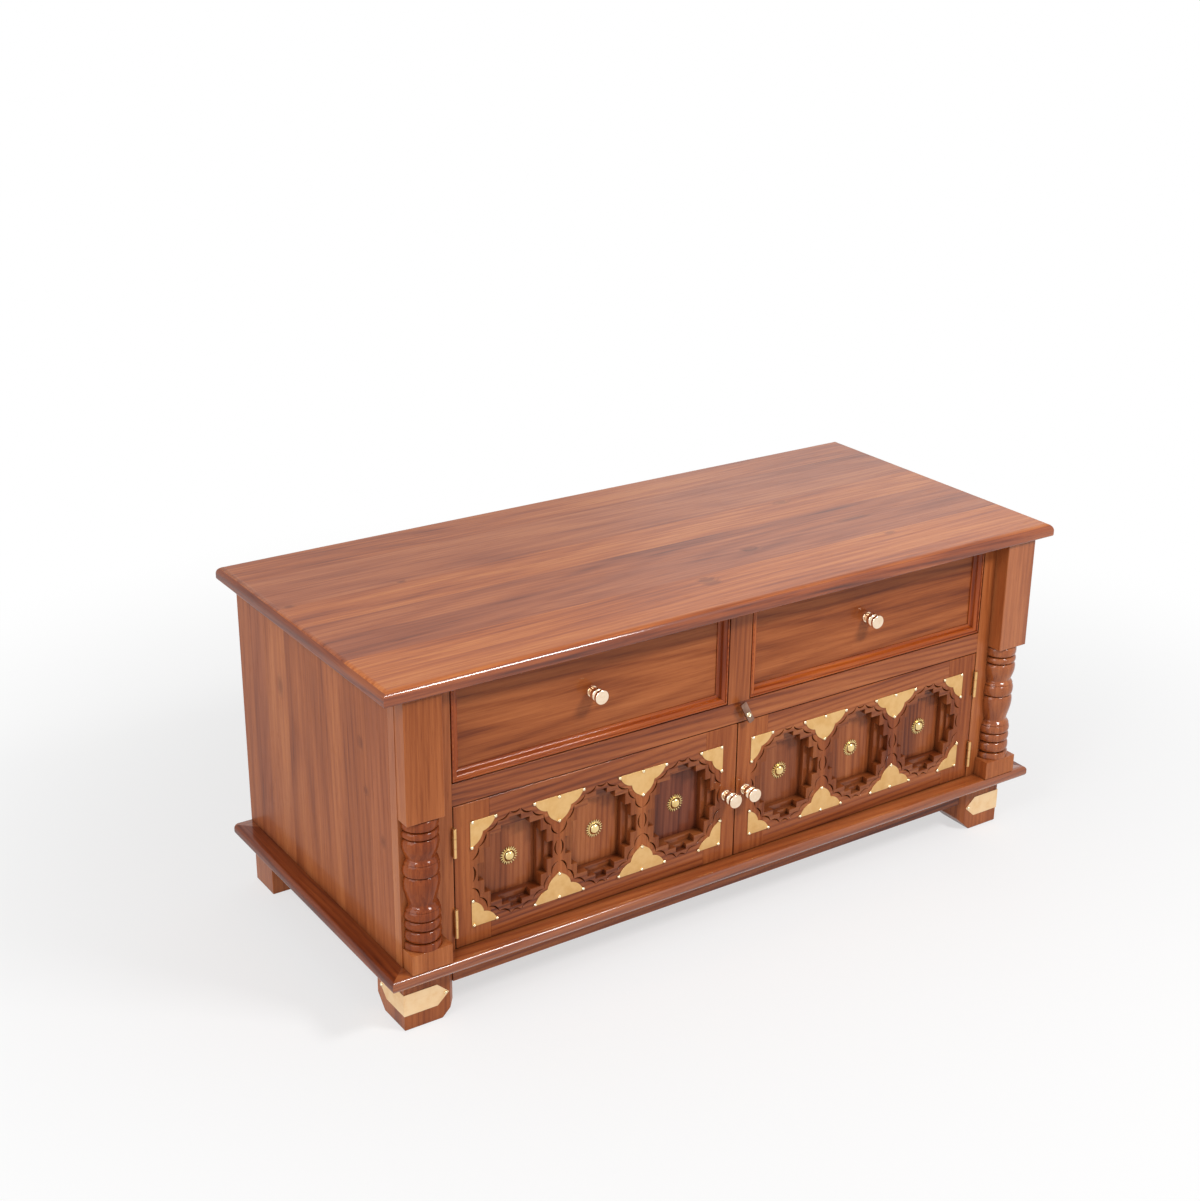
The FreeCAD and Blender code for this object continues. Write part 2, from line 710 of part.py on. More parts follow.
def end_notch(side, step, edge, away, reach, wide):
    """Rectangle cut up or down into a rail at the end of a niche."""
    sign = "+" if away > 0 else "-"
    centre = niche_x(step)
    return rect(mirrored(side, f"{centre} - {wide} / 2"), mirrored(side, f"{centre} + {wide} / 2"),
                edge, f"{edge} {sign} {reach}")


def step_cuts(member, label, deep, shallow):
    """Cut the deep steps and then the longer, shallower ones."""
    recess(member, f"{label}_deep", deep, "deep_step")
    recess(member, f"{label}_shallow", shallow, "shallow_step")


def corner_plate(x, x_sign, z, z_sign, both):
    """Outline of a lobed brass corner, or of a double one as a triangle."""
    def at(along, down, via=False):
        spot = (f"{x} {x_sign} ({along})", f"{z} {z_sign} ({down})")
        return (*spot, "via") if via else spot

    def lobe(a_from, d_from, a_to, d_to):
        return at(f"({a_from} + {a_to}) / 2 + 0.7 * plate_lobe",
                  f"({d_from} + {d_to}) / 2 + 0.7 * plate_lobe", True)

    far, near, mid = "plate_cusp_far", "plate_cusp_near", "plate_cusp_mid"
    stops = [("plate_leg", "0"), (far, near), (mid, mid), (near, far), ("0", "plate_leg")]
    path = [at(*stops[0])]
    for start, end in zip(stops, stops[1:]):
        short = "plate_leg" in start or "plate_leg" in end
        if not short:
            path.append(lobe(*start, *end))
        path.append(at(*end))
    if not both:
        return [at("0", "0")] + path
    back = corner_plate(x, "-" if x_sign == "+" else "+", z, z_sign, False)[1:]
    return path + back[::-1][1:]


def door(word, side):
    """One door: frame with three stepped niches, panel, brass work and hinges."""
    name = f"{word}_door"
    outer = slab(f"{name}_outer_stile", [rect(mirrored(side, STILE_EDGE_OUT), mirrored(side, DOOR_OUT),
                                              DOOR_LOW, DOOR_HIGH)], "door_frame_thick")
    recess(outer, f"{name}_mortise",
           [rect(mirrored(side, DOOR_OUT), mirrored(side, f"{DOOR_OUT} - leaf_sink"),
                 low, f"{low} + leaf_height") for low in HINGE_BOTTOMS], "leaf_width")
    step_cuts(outer, f"{name}_outer",
              [side_notch(side, STILE_EDGE_OUT, 1, "side_reach_deep", "side_tall_deep")],
              [side_notch(side, STILE_EDGE_OUT, 1, "side_reach_shallow", "side_tall_shallow")])
    inner = slab(f"{name}_inner_stile", [rect(mirrored(side, DOOR_IN), mirrored(side, STILE_EDGE_IN),
                                              DOOR_LOW, DOOR_HIGH)], "door_frame_thick")
    step_cuts(inner, f"{name}_inner",
              [side_notch(side, STILE_EDGE_IN, -1, "side_reach_deep", "side_tall_deep")],
              [side_notch(side, STILE_EDGE_IN, -1, "side_reach_shallow", "side_tall_shallow")])
    spot = (mirrored(side, DOOR_KNOB_X), DOOR_KNOB_Z)
    bore(inner, f"{name}_hole", [spot], "stud_radius + stud_clearance", "stud_length")

    for part, low, high, edge, away in (("top_rail", NICHE_HIGH, DOOR_HIGH, NICHE_HIGH, 1),
                                        ("bottom_rail", DOOR_LOW, NICHE_LOW, NICHE_LOW, -1)):
        member = slab(f"{name}_{part}", [rect(mirrored(side, STILE_EDGE_IN), mirrored(side, STILE_EDGE_OUT),
                                              low, high)], "door_frame_thick")
        step_cuts(member, f"{name}_{part}",
                  [end_notch(side, n, edge, away, "end_reach_deep", "end_wide_deep") for n in NICHES],
                  [end_notch(side, n, edge, away, "end_reach_shallow", "end_wide_shallow") for n in NICHES])

    gaps = [(f"({niche_x(n)} + niche_width / 2)", f"({niche_x(n + 1)} - niche_width / 2)")
            for n in NICHES[:-1]]
    muntins = slab(f"{name}_muntins", [rect(mirrored(side, near), mirrored(side, far), NICHE_LOW, NICHE_HIGH)
                                       for near, far in gaps], "door_frame_thick")
    cuts = [[side_notch(side, edge, away, f"side_reach_{depth}", f"side_tall_{depth}")
             for pair in gaps for edge, away in zip(pair, (1, -1))] for depth in ("deep", "shallow")]
    step_cuts(muntins, f"{name}_muntin", *cuts)
    side_box(f"{name}_back_panel", side, DOOR_IN, DOOR_OUT, DOOR_PANEL_FACE, DOOR_LOW,
             "door_panel_thick", f"{DOOR_HIGH} - {DOOR_LOW}")

    plates = []
    for z_sign, z in (("-", f"{NICHE_Z} + {PLATE_RISE}"), ("+", f"{NICHE_Z} - {PLATE_RISE}")):
        middle = mirrored(side, DOOR_MID)
        plates.append(corner_plate(f"{middle} - {PLATE_HALF}", "+", z, z_sign, False))
        plates.append(corner_plate(f"{middle} + {PLATE_HALF}", "-", z, z_sign, False))
        for sign in ("-", "+"):
            plates.append(corner_plate(f"{middle} {sign} niche_pitch / 2", "+", z, z_sign, True))
    sheets = []
    for n, outline in enumerate(plates, start=1):
        plate = new_body(f"{name}_plate_{n}", y=FRONT)
        face = draw(plate, "XZ_Plane", f"{name}_plate_face_{n}", [outline])
        feature(plate, "Pad", f"{name}_plate_pad_{n}", face, "brass_thick")
        sheets.append(plate)
    group(f"{name}_brass_plates", sheets)
    group(f"{name}_rosettes", [rosette(f"{name}_rosette_{n + 2}", mirrored(side, niche_x(n)))
                               for n in NICHES])
    knob(f"{name}_knob", spot[0], FRONT, spot[1])


def rosette(label, x):
    """Pierced brass washer with pointed rays under a round dome."""
    body = new_body(label, x, DOOR_PANEL_FACE, NICHE_Z)
    dome = [
        ("0", "0"),
        ("washer_radius", "0"),
        ("washer_radius", "-washer_thick"),
        ("dome_radius", "-washer_thick"),
        ("0.74 * dome_radius", "-washer_thick - 0.7 * dome_height"),
        ("0", "-washer_thick - dome_height"),
    ]
    turn(body, f"{label}_dome", draw(body, "XY_Plane", f"{label}_profile", [dome]), 360)
    half = f"washer_radius * tan(180 deg / {RAY_COUNT})"
    ray = [(f"-{half}", "0.98 * washer_radius"), (half, "0.98 * washer_radius"),
           ("0", "washer_radius + ray_reach")]
    first = feature(body, "Pad", f"{label}_ray", draw(body, "XZ_Plane", f"{label}_ray_face", [ray]),
                    "washer_thick")
    rays = body.newObject("PartDesign::PolarPattern", f"{label}_rays")
    rays.Originals = [first]
    rays.Axis = (plane_of(body, "Y_Axis"), [""])
    rays.Angle = 360
    rays.Occurrences = RAY_COUNT
    doc.recompute()
    body.Tip = rays
    return body


# Hinges: frame leaf with two knuckles fast on the pin, door leaf with the middle knuckle.
def leaf_blank(name, side, inner, low, knuckles):
    """Let-in plate of a hinge leaf with the necks and knuckles it carries."""
    outer = f"({inner} + leaf_thick)"
    parts = [side_box(f"{name}_plate", side, inner, outer, FRONT, low, "leaf_width", "leaf_height")]
    for n, (start, tall) in enumerate(knuckles):
        base = f"({low} + {start})"
        parts.append(side_box(f"{name}_neck_{n}", side, inner, outer, BARREL_Y, base, "barrel_stand", tall))
        parts.append(rod(f"{name}_knuckle_{n}", mirrored(side, HINGE_LINE), BARREL_Y, base,
                         "barrel_radius", tall))
    return parts


def fuse(name, parts):
    """One solid out of several that meet."""
    whole = doc.addObject("Part::MultiFuse", name)
    whole.Shapes = parts
    return whole


def frame_leaf(name, side, low):
    """Fixed leaf: two end knuckles joined by the hinge pin."""
    parts = leaf_blank(name, side, f"({OPEN_HALF} + leaf_sink - leaf_thick)", low, FRAME_KNUCKLES)
    parts.append(rod(f"{name}_pin", mirrored(side, HINGE_LINE), BARREL_Y, low, "pin_radius", "leaf_height"))
    return fuse(name, parts)


def door_leaf(name, side, low):
    """Moving leaf: middle knuckle bored to run on the hinge pin."""
    blank = fuse(f"{name}_blank", leaf_blank(name, side, f"({DOOR_OUT} - leaf_sink)", low, DOOR_KNUCKLES))
    bored = doc.addObject("Part::Cut", name)
    bored.Base = blank
    bored.Tool = rod(f"{name}_bore", mirrored(side, HINGE_LINE), BARREL_Y, low,
                     "pin_radius + pin_clearance", "leaf_height")
    return bored


THIRD = "(leaf_height / 3)"
END_KNUCKLE = f"({THIRD} - knuckle_gap / 2)"
FRAME_KNUCKLES = (("0", END_KNUCKLE), (f"2 * {THIRD} + knuckle_gap / 2", END_KNUCKLE))
DOOR_KNUCKLES = ((f"{THIRD} + knuckle_gap / 2", f"{THIRD} - knuckle_gap"),)
frame_leaves = []
for word, side in SIDES:
    door(word, side)
    frame_leaves += [frame_leaf(f"{word}_frame_leaf_{n}", side, low) for n, low in enumerate(HINGE_BOTTOMS)]
    group(f"{word}_door_hinge_leaves",
          [door_leaf(f"{word}_door_leaf_{n}", side, low) for n, low in enumerate(HINGE_BOTTOMS)])
group("hinge_frame_leaves", frame_leaves)


# Turn button on its collared screw.
button = new_body("turn_button", "button_offset", f"{FRONT} - collar_height - button_play - button_thick",
                  BUTTON_Z)
half = "button_width / 2"
strip = []
for x_sign, z_sign, end in (("", "-", "button_short"), ("", "", "button_long"),
                            ("-", "", "button_long"), ("-", "-", "button_short")):
    beside = (f"{x_sign}({half})", f"{z_sign}({end} - button_round)")
    bend = (f"{x_sign}({half} - 0.293 * button_round)", f"{z_sign}({end} - 0.293 * button_round)", "via")
    at_end = (f"{x_sign}({half} - button_round)", f"{z_sign}({end})")
    upward = (x_sign == "") == (z_sign == "")
    strip += [beside, bend, at_end] if upward else [at_end, bend, beside]
feature(button, "Pad", "button_pad", draw(button, "XZ_Plane", "button_face", [strip]), "button_thick", True)
bore(button, "button_bore", [("0", "0")], "screw_radius + screw_clearance", "button_thick")
button.Placement.Rotation = FreeCAD.Rotation(Vector(0, -1, 0), size["button_tilt"])
bind(button, "Placement.Rotation.Angle", "button_tilt * 1 deg")

screw = new_body("button_screw", "button_offset", FRONT, BUTTON_Z)
neck = "(collar_height + button_thick + 2 * button_play)"
profile = [
    ("0", "screw_length"),
    ("screw_radius", "screw_length"),
    ("screw_radius", "0"),
    ("collar_radius", "0"),
    ("collar_radius", "-collar_height"),
    ("screw_radius", "-collar_height"),
    ("screw_radius", f"-{neck}"),
    ("screw_head_radius", f"-{neck}"),
    ("0.6 * screw_head_radius", f"-{neck} - screw_head_height"),
    ("0", f"-{neck} - screw_head_height"),
]
turn(screw, "screw_turned", draw(screw, "XY_Plane", "screw_profile", [profile]), 360)
doc.recompute()

NODES = [
    "top_panel", "base_slab", "left_side_panel", "right_side_panel", "back_panel", "left_stile",
    "right_stile", "middle_rail", "drawer_mullion", "dust_board", "drawer_guides", "door_stop",
    "left_post", "right_post", "left_plinth", "right_plinth", "front_left_foot", "front_right_foot",
    "back_left_foot", "back_right_foot", "front_apron", "left_foot_cap", "right_foot_cap",
    "hinge_frame_leaves", "button_screw", "turn_button",
]
for word, _ in SIDES:
    NODES += [f"{word}_drawer_{part}" for part in
              ("front", "moulding", "left_side", "right_side", "back", "bottom", "knob")]
    NODES += [f"{word}_door_{part}" for part in
              ("outer_stile", "inner_stile", "top_rail", "bottom_rail", "muntins", "back_panel",
               "rosettes", "brass_plates", "knob", "hinge_leaves")]

for thing in doc.Objects:
    if any(flag in ("Invalid", "Error") for flag in thing.State):
        raise RuntimeError(f"{thing.Label} did not build: {thing.State}")

os.makedirs("parts", exist_ok=True)
for node in NODES:
    shape = doc.getObjectsByLabel(node)[0].Shape
    if shape.isNull() or not shape.isValid() or not shape.Solids:
        raise RuntimeError(f"{node} is not a sound solid")
    shape.exportStep(f"parts/{node}.step")
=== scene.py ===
import logging
import math
from dataclasses import dataclass, replace
from enum import Enum
from typing import Callable, ClassVar, Sequence

import bmesh
import bpy
from mathutils import Matrix, Vector


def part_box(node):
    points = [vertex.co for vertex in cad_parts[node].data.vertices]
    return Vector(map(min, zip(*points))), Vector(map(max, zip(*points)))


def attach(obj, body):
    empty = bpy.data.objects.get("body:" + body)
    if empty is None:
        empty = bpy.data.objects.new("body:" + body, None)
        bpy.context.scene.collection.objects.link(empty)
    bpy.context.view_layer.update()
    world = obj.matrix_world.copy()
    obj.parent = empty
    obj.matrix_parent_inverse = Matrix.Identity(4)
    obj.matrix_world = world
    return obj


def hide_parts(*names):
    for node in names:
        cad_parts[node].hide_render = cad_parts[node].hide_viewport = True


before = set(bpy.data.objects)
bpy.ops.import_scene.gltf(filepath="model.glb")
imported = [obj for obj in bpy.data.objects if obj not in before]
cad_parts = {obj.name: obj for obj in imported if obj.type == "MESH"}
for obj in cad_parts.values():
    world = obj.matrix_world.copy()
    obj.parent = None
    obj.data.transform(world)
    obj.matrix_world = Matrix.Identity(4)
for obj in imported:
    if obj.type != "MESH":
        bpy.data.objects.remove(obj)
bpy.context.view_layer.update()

# A low carved chest: two drawers over two doors with stepped niches and brass.
# Metres, +X along the length, -Y out of the front, +Z up, the floor at z = 0.

MM = 0.001
log = logging.getLogger("carved_chest")

Colour = tuple[float, float, float]
Place = tuple[float, float, float]
Point = tuple[float, float]
Socket = bpy.types.NodeSocket
Piece = bpy.types.Object
Material = bpy.types.Material
Value = float | Socket

# Places that the doors share with the stain in their carving.
DOOR_MIDDLE = 232.75 * MM
NICHE_PITCH = 138.0 * MM
NICHE_Z = 208.5 * MM
GOUGE_CHORD = 20.0 * MM

# Distance within which an edge or a face counts as lying at a place.
NEAR = 0.02 * MM

# Angles up to which edges are shaded smoothly, in degrees.
EASED_ANGLE = 50.0
MITRED_ANGLE = 40.0
SOFT_ANGLE = 32.0


class Axis(Enum):
    """Direction in the frame of the chest."""

    X = 0
    Y = 1
    Z = 2


class Side(Enum):
    """Half of the chest, with the sign of its X."""

    LEFT = -1
    RIGHT = 1

    @property
    def word(self) -> str:
        """Name of the half in lower case."""
        return self.name.lower()


class Slot(Enum):
    """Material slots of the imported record."""

    WOOD = "wood"
    BRASS = "brass"
    STEEL = "steel"


class Element(Enum):
    """Kind of mesh element that is selected, with the name of its list in a mesh."""

    VERT = "verts"
    EDGE = "edges"
    FACE = "faces"


def srgb(red: float, green: float, blue: float) -> Colour:
    """Turn display values from 0 to 255 into linear light.

    Args:
        red: Red display value.
        green: Green display value.
        blue: Blue display value.

    Returns:
        The three linear values.
    """
    def linear(value: float) -> float:
        """Linear value of one display channel."""
        share = value / 255.0
        return share / 12.92 if share <= 0.04045 else ((share + 0.055) / 1.055) ** 2.4

    return linear(red), linear(green), linear(blue)


class Graph:
    """Node tree, with short calls for the nodes that the finishes and the studio use."""

    RECESS_SAMPLES: ClassVar[int] = 6

    def __init__(self, tree: bpy.types.NodeTree, output: str) -> None:
        """Empty a tree but for a new output.

        Args:
            tree: Tree to fill.
            output: Node type of the output.
        """
        self.tree = tree
        self.tree.nodes.clear()
        self.output = self.tree.nodes.new(output)

    def feed(self, socket: Socket, value: Value | Sequence[float]) -> None:
        """Link a socket to another, or set its constant.

        Args:
            socket: Input to feed.
            value: Socket to link, or constant.
        """
        if isinstance(value, Socket):
            self.tree.links.new(value, socket)
        else:
            socket.default_value = value

    def put(self, kind: str, inputs: dict[str | int, Value | Sequence[float]] | None = None,
            **settings: object) -> bpy.types.Node:
        """Add one node.

        Args:
            kind: Node type.
            inputs: Values or sockets for its inputs.
            **settings: Properties of the node.

        Returns:
            The node.
        """
        node = self.tree.nodes.new(kind)
        for key, value in settings.items():
            setattr(node, key, value)
        for key, value in (inputs or {}).items():
            self.feed(node.inputs[key], value)
        return node

    def math(self, operation: str, first: Value, second: Value = 0.0) -> Socket:
        """Result of an operation on two values."""
        return self.put("ShaderNodeMath", {0: first, 1: second}, operation=operation).outputs[0]

    def scaled(self, value: Value, factor: float, offset: float = 0.0) -> Socket:
        """Value times a factor plus an offset."""
        inputs = {0: value, 1: factor, 2: offset}
        return self.put("ShaderNodeMath", inputs, operation="MULTIPLY_ADD").outputs[0]

    def place(self) -> Socket:
        """Place of the shaded point in its object."""
        return self.put("ShaderNodeTexCoord").outputs["Object"]

    def split(self, vector: Socket) -> tuple[Socket, ...]:
        """The three parts of a vector."""
        return tuple(self.put("ShaderNodeSeparateXYZ", {0: vector}).outputs)

    def vector(self, x: Value, y: Value, z: Value) -> Socket:
        """Vector out of three values."""
        return self.put("ShaderNodeCombineXYZ", {0: x, 1: y, 2: z}).outputs[0]

    def length(self, vector: Socket) -> Socket:
        """Length of a vector."""
        return self.put("ShaderNodeVectorMath", {0: vector}, operation="LENGTH").outputs["Value"]

    def noise(self, vector: Socket, detail: float = 2.0, roughness: float = 0.5, scale: float = 1.0) -> Socket:
        """Smooth noise between 0 and 1.

        Args:
            vector: Place, already stretched.
            detail: Number of finer layers.
            roughness: Weight of the finer layers.
            scale: Frequency.

        Returns:
            The noise value.
        """
        inputs = {"Vector": vector, "Scale": scale, "Detail": detail, "Roughness": roughness}
        return self.put("ShaderNodeTexNoise", inputs).outputs[0]

    def ramp(self, value: Value, stops: Sequence[tuple[float, Colour]], interpolation: str = "LINEAR") -> Socket:
        """Colour read from a ramp.

        Args:
            value: Place on the ramp.
            stops: Positions and colours in order.
            interpolation: Kind of passage between the stops.

        Returns:
            The colour socket.
        """
        node = self.put("ShaderNodeValToRGB", {0: value})
        elements = node.color_ramp.elements
        node.color_ramp.interpolation = interpolation
        while len(elements) < len(stops):
            elements.new(1.0)
        for element, (position, colour) in zip(elements, stops):
            element.position = position
            element.color = (*colour, 1.0)
        return node.outputs["Color"]

    def levels(self, value: Value, low: float, high: float, to_low: float = 0.0, to_high: float = 1.0) -> Socket:
        """Stretch a range of values smoothly to another range."""
        inputs = {0: value, 1: low, 2: high, 3: to_low, 4: to_high}
        return self.put("ShaderNodeMapRange", inputs, interpolation_type="SMOOTHSTEP").outputs[0]

    def mix(self, share: Value, first: Socket | Colour, second: Socket | Colour) -> Socket:
        """Mix two colours.

        Args:
            share: Weight of the second colour.
            first: First colour or socket.
            second: Second colour or socket.

        Returns:
            The mixed colour.
        """
        node = self.put("ShaderNodeMix", data_type="RGBA")
        self.feed(node.inputs["Factor"], share)
        colours = [socket for socket in node.inputs if socket.type == "RGBA"]
        for socket, colour in zip(colours, (first, second)):
            self.feed(socket, colour if isinstance(colour, Socket) else (*colour, 1.0))
        return next(socket for socket in node.outputs if socket.type == "RGBA")

    def recess(self, reach: float) -> Socket:
        """Openness of the surroundings within a reach, from 0 in a recess to 1."""
        inputs = {"Distance": reach}
        return self.put("ShaderNodeAmbientOcclusion", inputs, samples=self.RECESS_SAMPLES).outputs["AO"]

    def backdrop(self) -> Socket:
        """Tell the rays that show the white surroundings from those that light a surface.

        Returns:
            1 for camera, glossy and transmission rays, otherwise 0.
        """
        path = self.put("ShaderNodeLightPath").outputs
        mirrored = self.math("MAXIMUM", path["Is Glossy Ray"], path["Is Transmission Ray"])
        return self.math("MAXIMUM", path["Is Camera Ray"], mirrored)

    def surface(self, share: Value, first: Socket, second: Socket) -> None:
        """Give the output a blend of two shaders."""
        blend = self.put("ShaderNodeMixShader", {0: share, 1: first, 2: second})
        self.feed(self.output.inputs["Surface"], blend.outputs[0])


class SurfaceGraph(Graph):
    """Node tree of one new material with its main shader."""

    def __init__(self, name: str) -> None:
        """Start a material that has only its output and main shader.

        Args:
            name: Name of the material.
        """
        self.material = bpy.data.materials.new(name)
        self.material.use_nodes = True
        super().__init__(self.material.node_tree, "ShaderNodeOutputMaterial")
        self.shader = self.put("ShaderNodeBsdfPrincipled")
        self.feed(self.output.inputs["Surface"], self.shader.outputs["BSDF"])

    def bump(self, height: Value, strength: float, distance: float) -> None:
        """Give the shader a bump from a height."""
        node = self.put("ShaderNodeBump", {"Strength": strength, "Distance": distance, "Height": height})
        self.feed(self.shader.inputs["Normal"], node.outputs["Normal"])

    def dress(self, **sockets: Value | Sequence[float]) -> None:
        """Set shader inputs; an underscore stands for a space."""
        for key, value in sockets.items():
            self.feed(self.shader.inputs[key.replace("_", " ")], value)


@dataclass(frozen=True)
class Palette:
    """Colours of one stain, from the dark lines to the pale streaks."""

    dark: Colour
    low: Colour
    middle: Colour
    pale: Colour

    POSITIONS: ClassVar[tuple[float, ...]] = (0.12, 0.38, 0.60, 0.88)

    def stops(self) -> list[tuple[float, Colour]]:
        """Stops of the colour ramp."""
        return list(zip(self.POSITIONS, (self.dark, self.low, self.middle, self.pale)))


WARM = Palette(srgb(92, 36, 14), srgb(136, 66, 28), srgb(158, 84, 40), srgb(180, 104, 54))
AMBER = Palette(srgb(126, 58, 26), srgb(166, 86, 40), srgb(186, 104, 50), srgb(204, 126, 66))
HONEY = Palette(srgb(106, 46, 20), srgb(148, 77, 36), srgb(170, 95, 49), srgb(190, 115, 64))
PLUM = Palette(srgb(104, 48, 30), srgb(138, 72, 44), srgb(156, 86, 54), srgb(174, 103, 66))
CHESTNUT = Palette(srgb(70, 24, 10), srgb(122, 54, 23), srgb(148, 72, 33), srgb(172, 95, 48))
WINE = Palette(srgb(50, 17, 12), srgb(84, 36, 26), srgb(106, 50, 36), srgb(128, 68, 48))
RUSSET = Palette(srgb(60, 20, 8), srgb(106, 44, 17), srgb(132, 61, 25), srgb(158, 82, 38))
EMBER = Palette(srgb(98, 34, 10), srgb(148, 65, 20), srgb(170, 82, 28), srgb(192, 104, 42))
DEEP = Palette(srgb(46, 15, 7), srgb(84, 35, 18), srgb(108, 50, 26), srgb(130, 66, 36))
RAW = Palette(srgb(138, 80, 52), srgb(172, 108, 74), srgb(192, 129, 92), srgb(208, 150, 112))


@dataclass(frozen=True)
class Knot:
    """Dark knot: its place, radius and stretch along the grain."""

    place: Place
    radius: float
    stretch: float = 1.8


@dataclass(frozen=True)
class Figure:
    """Noise drawn out along the grain: frequencies, finer layers and their weight."""

    lengthwise: float
    crosswise: float
    detail: float = 2.0
    roughness: float = 0.5


@dataclass(frozen=True)
class WoodFinish:
    """Lacquered wood whose grain runs along one axis of the chest."""

    name: str
    grain: Axis
    palette: Palette = WARM
    second: Palette = WARM
    board_axis: Axis = Axis.Y
    boards: tuple[Point, ...] = ()
    knots: tuple[Knot, ...] = ()
    pith: Point = (0.21, -0.13)
    ring_pitch: float = 0.0085
    streaks: float = 1.0
    lines: float = 0.55
    rings: float = 0.55
    shift: float = 0.0
    roughness: float = 0.40
    specular: float = 0.18
    coat: float = 0.22
    shine: float = 0.08
    # Strength of the painted shade in recesses.
    cavity: float = 0.55
    bump: float = 0.12
    carving: float = 0.0

    SWAY: ClassVar[Figure] = Figure(1.3, 6.0)
    STREAK: ClassVar[Figure] = Figure(1.5, 28.0, 1.5)
    LINE: ClassVar[Figure] = Figure(5.0, 200.0, 2.0, 0.55)
    MOTTLE: ClassVar[Figure] = Figure(1.9, 7.0)
    FIBRE: ClassVar[Figure] = Figure(17.0, 520.0, 2.0, 0.6)
    PORE: ClassVar[Figure] = Figure(42.0, 900.0, 1.0)
    PORE_RANGE: ClassVar[Point] = (0.60, 0.72)
    STREAK_TONE: ClassVar[float] = 0.8
    MOTTLE_TONE: ClassVar[float] = 0.8
    RING_TONE: ClassVar[float] = 0.30
    FIBRE_TONE: ClassVar[float] = 0.30
    FIBRE_OFFSET: ClassVar[float] = -0.07
    FIBRE_ROUGH: ClassVar[float] = 0.16
    PORE_ROUGH: ClassVar[float] = 0.10
    FIBRE_HEIGHT: ClassVar[float] = 0.7
    PORE_DEPTH: ClassVar[float] = 0.6
    RING_DEPTH: ClassVar[float] = 0.25
    BOARD_SPAN: ClassVar[float] = 1.4
    BOARD_SHIFT: ClassVar[Point] = (9.7, 0.37)
    SEAM_EDGES: ClassVar[Point] = (0.2 * MM, 0.9 * MM)
    SEAM_DARK: ClassVar[float] = 0.32
    SWAY_REACH: ClassVar[float] = 34.0 * MM
    KNOT_PUSH: ClassVar[float] = 6.0 * MM
    KNOT_EDGES: ClassVar[Point] = (0.2, 1.5)
    KNOT_DARK: ClassVar[float] = 0.42
    PORE_DARK: ClassVar[float] = 0.24
    RING_LEAN: ClassVar[float] = 0.035
    RING_RUFFLE: ClassVar[float] = 1.1
    CARVING_HALF: ClassVar[Point] = (67.0 * MM, 78.0 * MM)
    CARVING_EDGES: ClassVar[Point] = (0.88, 1.06)
    # Reach and edges of the painted shade in recesses.
    CAVITY_REACH: ClassVar[float] = 22.0 * MM
    CAVITY_EDGES: ClassVar[Point] = (0.12, 0.85)
    COAT_IOR: ClassVar[float] = 1.5
    BUMP_REACH: ClassVar[float] = 0.5 * MM

    def build(self) -> Material:
        """Make the material.

        Returns:
            The finished material.
        """
        graph = SurfaceGraph(self.name)
        axes = graph.split(graph.place())
        along, across, through = (axes[(self.grain.value + step) % 3] for step in range(3))
        tone: Value = 0.0
        if self.boards:
            tone = self.board_tone(graph, axes[self.board_axis.value])
            along = graph.math("ADD", along, graph.scaled(tone, self.BOARD_SHIFT[0]))
            across = graph.math("ADD", across, graph.scaled(tone, self.BOARD_SHIFT[1]))
        along = graph.math("ADD", along, self.shift)

        def drawn(figure: Figure) -> Socket:
            """Noise on the present place, drawn out along the grain.

            Args:
                figure: Frequencies and layers of the noise.

            Returns:
                The noise value.
            """
            place = graph.vector(graph.scaled(along, figure.lengthwise), graph.scaled(across, figure.crosswise),
                                 graph.scaled(through, figure.crosswise))
            return graph.noise(place, figure.detail, figure.roughness)

        knot = self.knot_share(graph, axes)
        push = graph.math("ADD", graph.scaled(drawn(self.SWAY), self.SWAY_REACH, -0.5 * self.SWAY_REACH),
                          graph.scaled(knot, self.KNOT_PUSH))
        across, through = graph.math("ADD", across, push), graph.math("ADD", through, push)
        streak, fibre = drawn(self.STREAK), drawn(self.FIBRE)
        pore = graph.levels(drawn(self.PORE), *self.PORE_RANGE)
        ring = self.ring_share(graph, along, across, through, streak)
        value = self.tone_value(graph, streak, drawn(self.LINE), drawn(self.MOTTLE), ring, fibre)

        colour = graph.ramp(value, self.palette.stops())
        if self.boards:
            share = graph.math("FRACT", graph.scaled(tone, self.BOARD_SPAN))
            colour = graph.mix(share, colour, graph.ramp(value, self.second.stops()))
            seam = self.seam_share(graph, axes[self.board_axis.value])
            colour = graph.mix(seam, colour, self.palette.dark)
        colour = graph.mix(graph.scaled(pore, self.PORE_DARK), colour, self.palette.dark)
        if self.knots:
            colour = graph.mix(graph.scaled(knot, self.KNOT_DARK), colour, DEEP.low)
        if self.carving:
            colour = graph.mix(self.carving_share(graph, axes), colour, RUSSET.dark)
        # Painted shade: the colour darkens towards DEEP.dark in recesses, where shade falls.
        shade = graph.levels(graph.recess(self.CAVITY_REACH), *self.CAVITY_EDGES, self.cavity, 0.0)
        colour = graph.mix(shade, colour, DEEP.dark)

        rough = graph.scaled(fibre, self.FIBRE_ROUGH, self.roughness - 0.5 * self.FIBRE_ROUGH)
        rough = graph.math("ADD", rough, graph.scaled(pore, self.PORE_ROUGH))
        graph.dress(Base_Color=colour, Coat_Weight=self.coat, Coat_Roughness=self.shine, Coat_IOR=self.COAT_IOR,
                    Specular_IOR_Level=self.specular, Roughness=rough)
        height = graph.scaled(fibre, self.FIBRE_HEIGHT)
        for furrow, depth in ((pore, self.PORE_DEPTH), (ring, self.RING_DEPTH)):
            height = graph.math("SUBTRACT", height, graph.scaled(furrow, depth))
        graph.bump(height, self.bump, self.BUMP_REACH)
        return graph.material

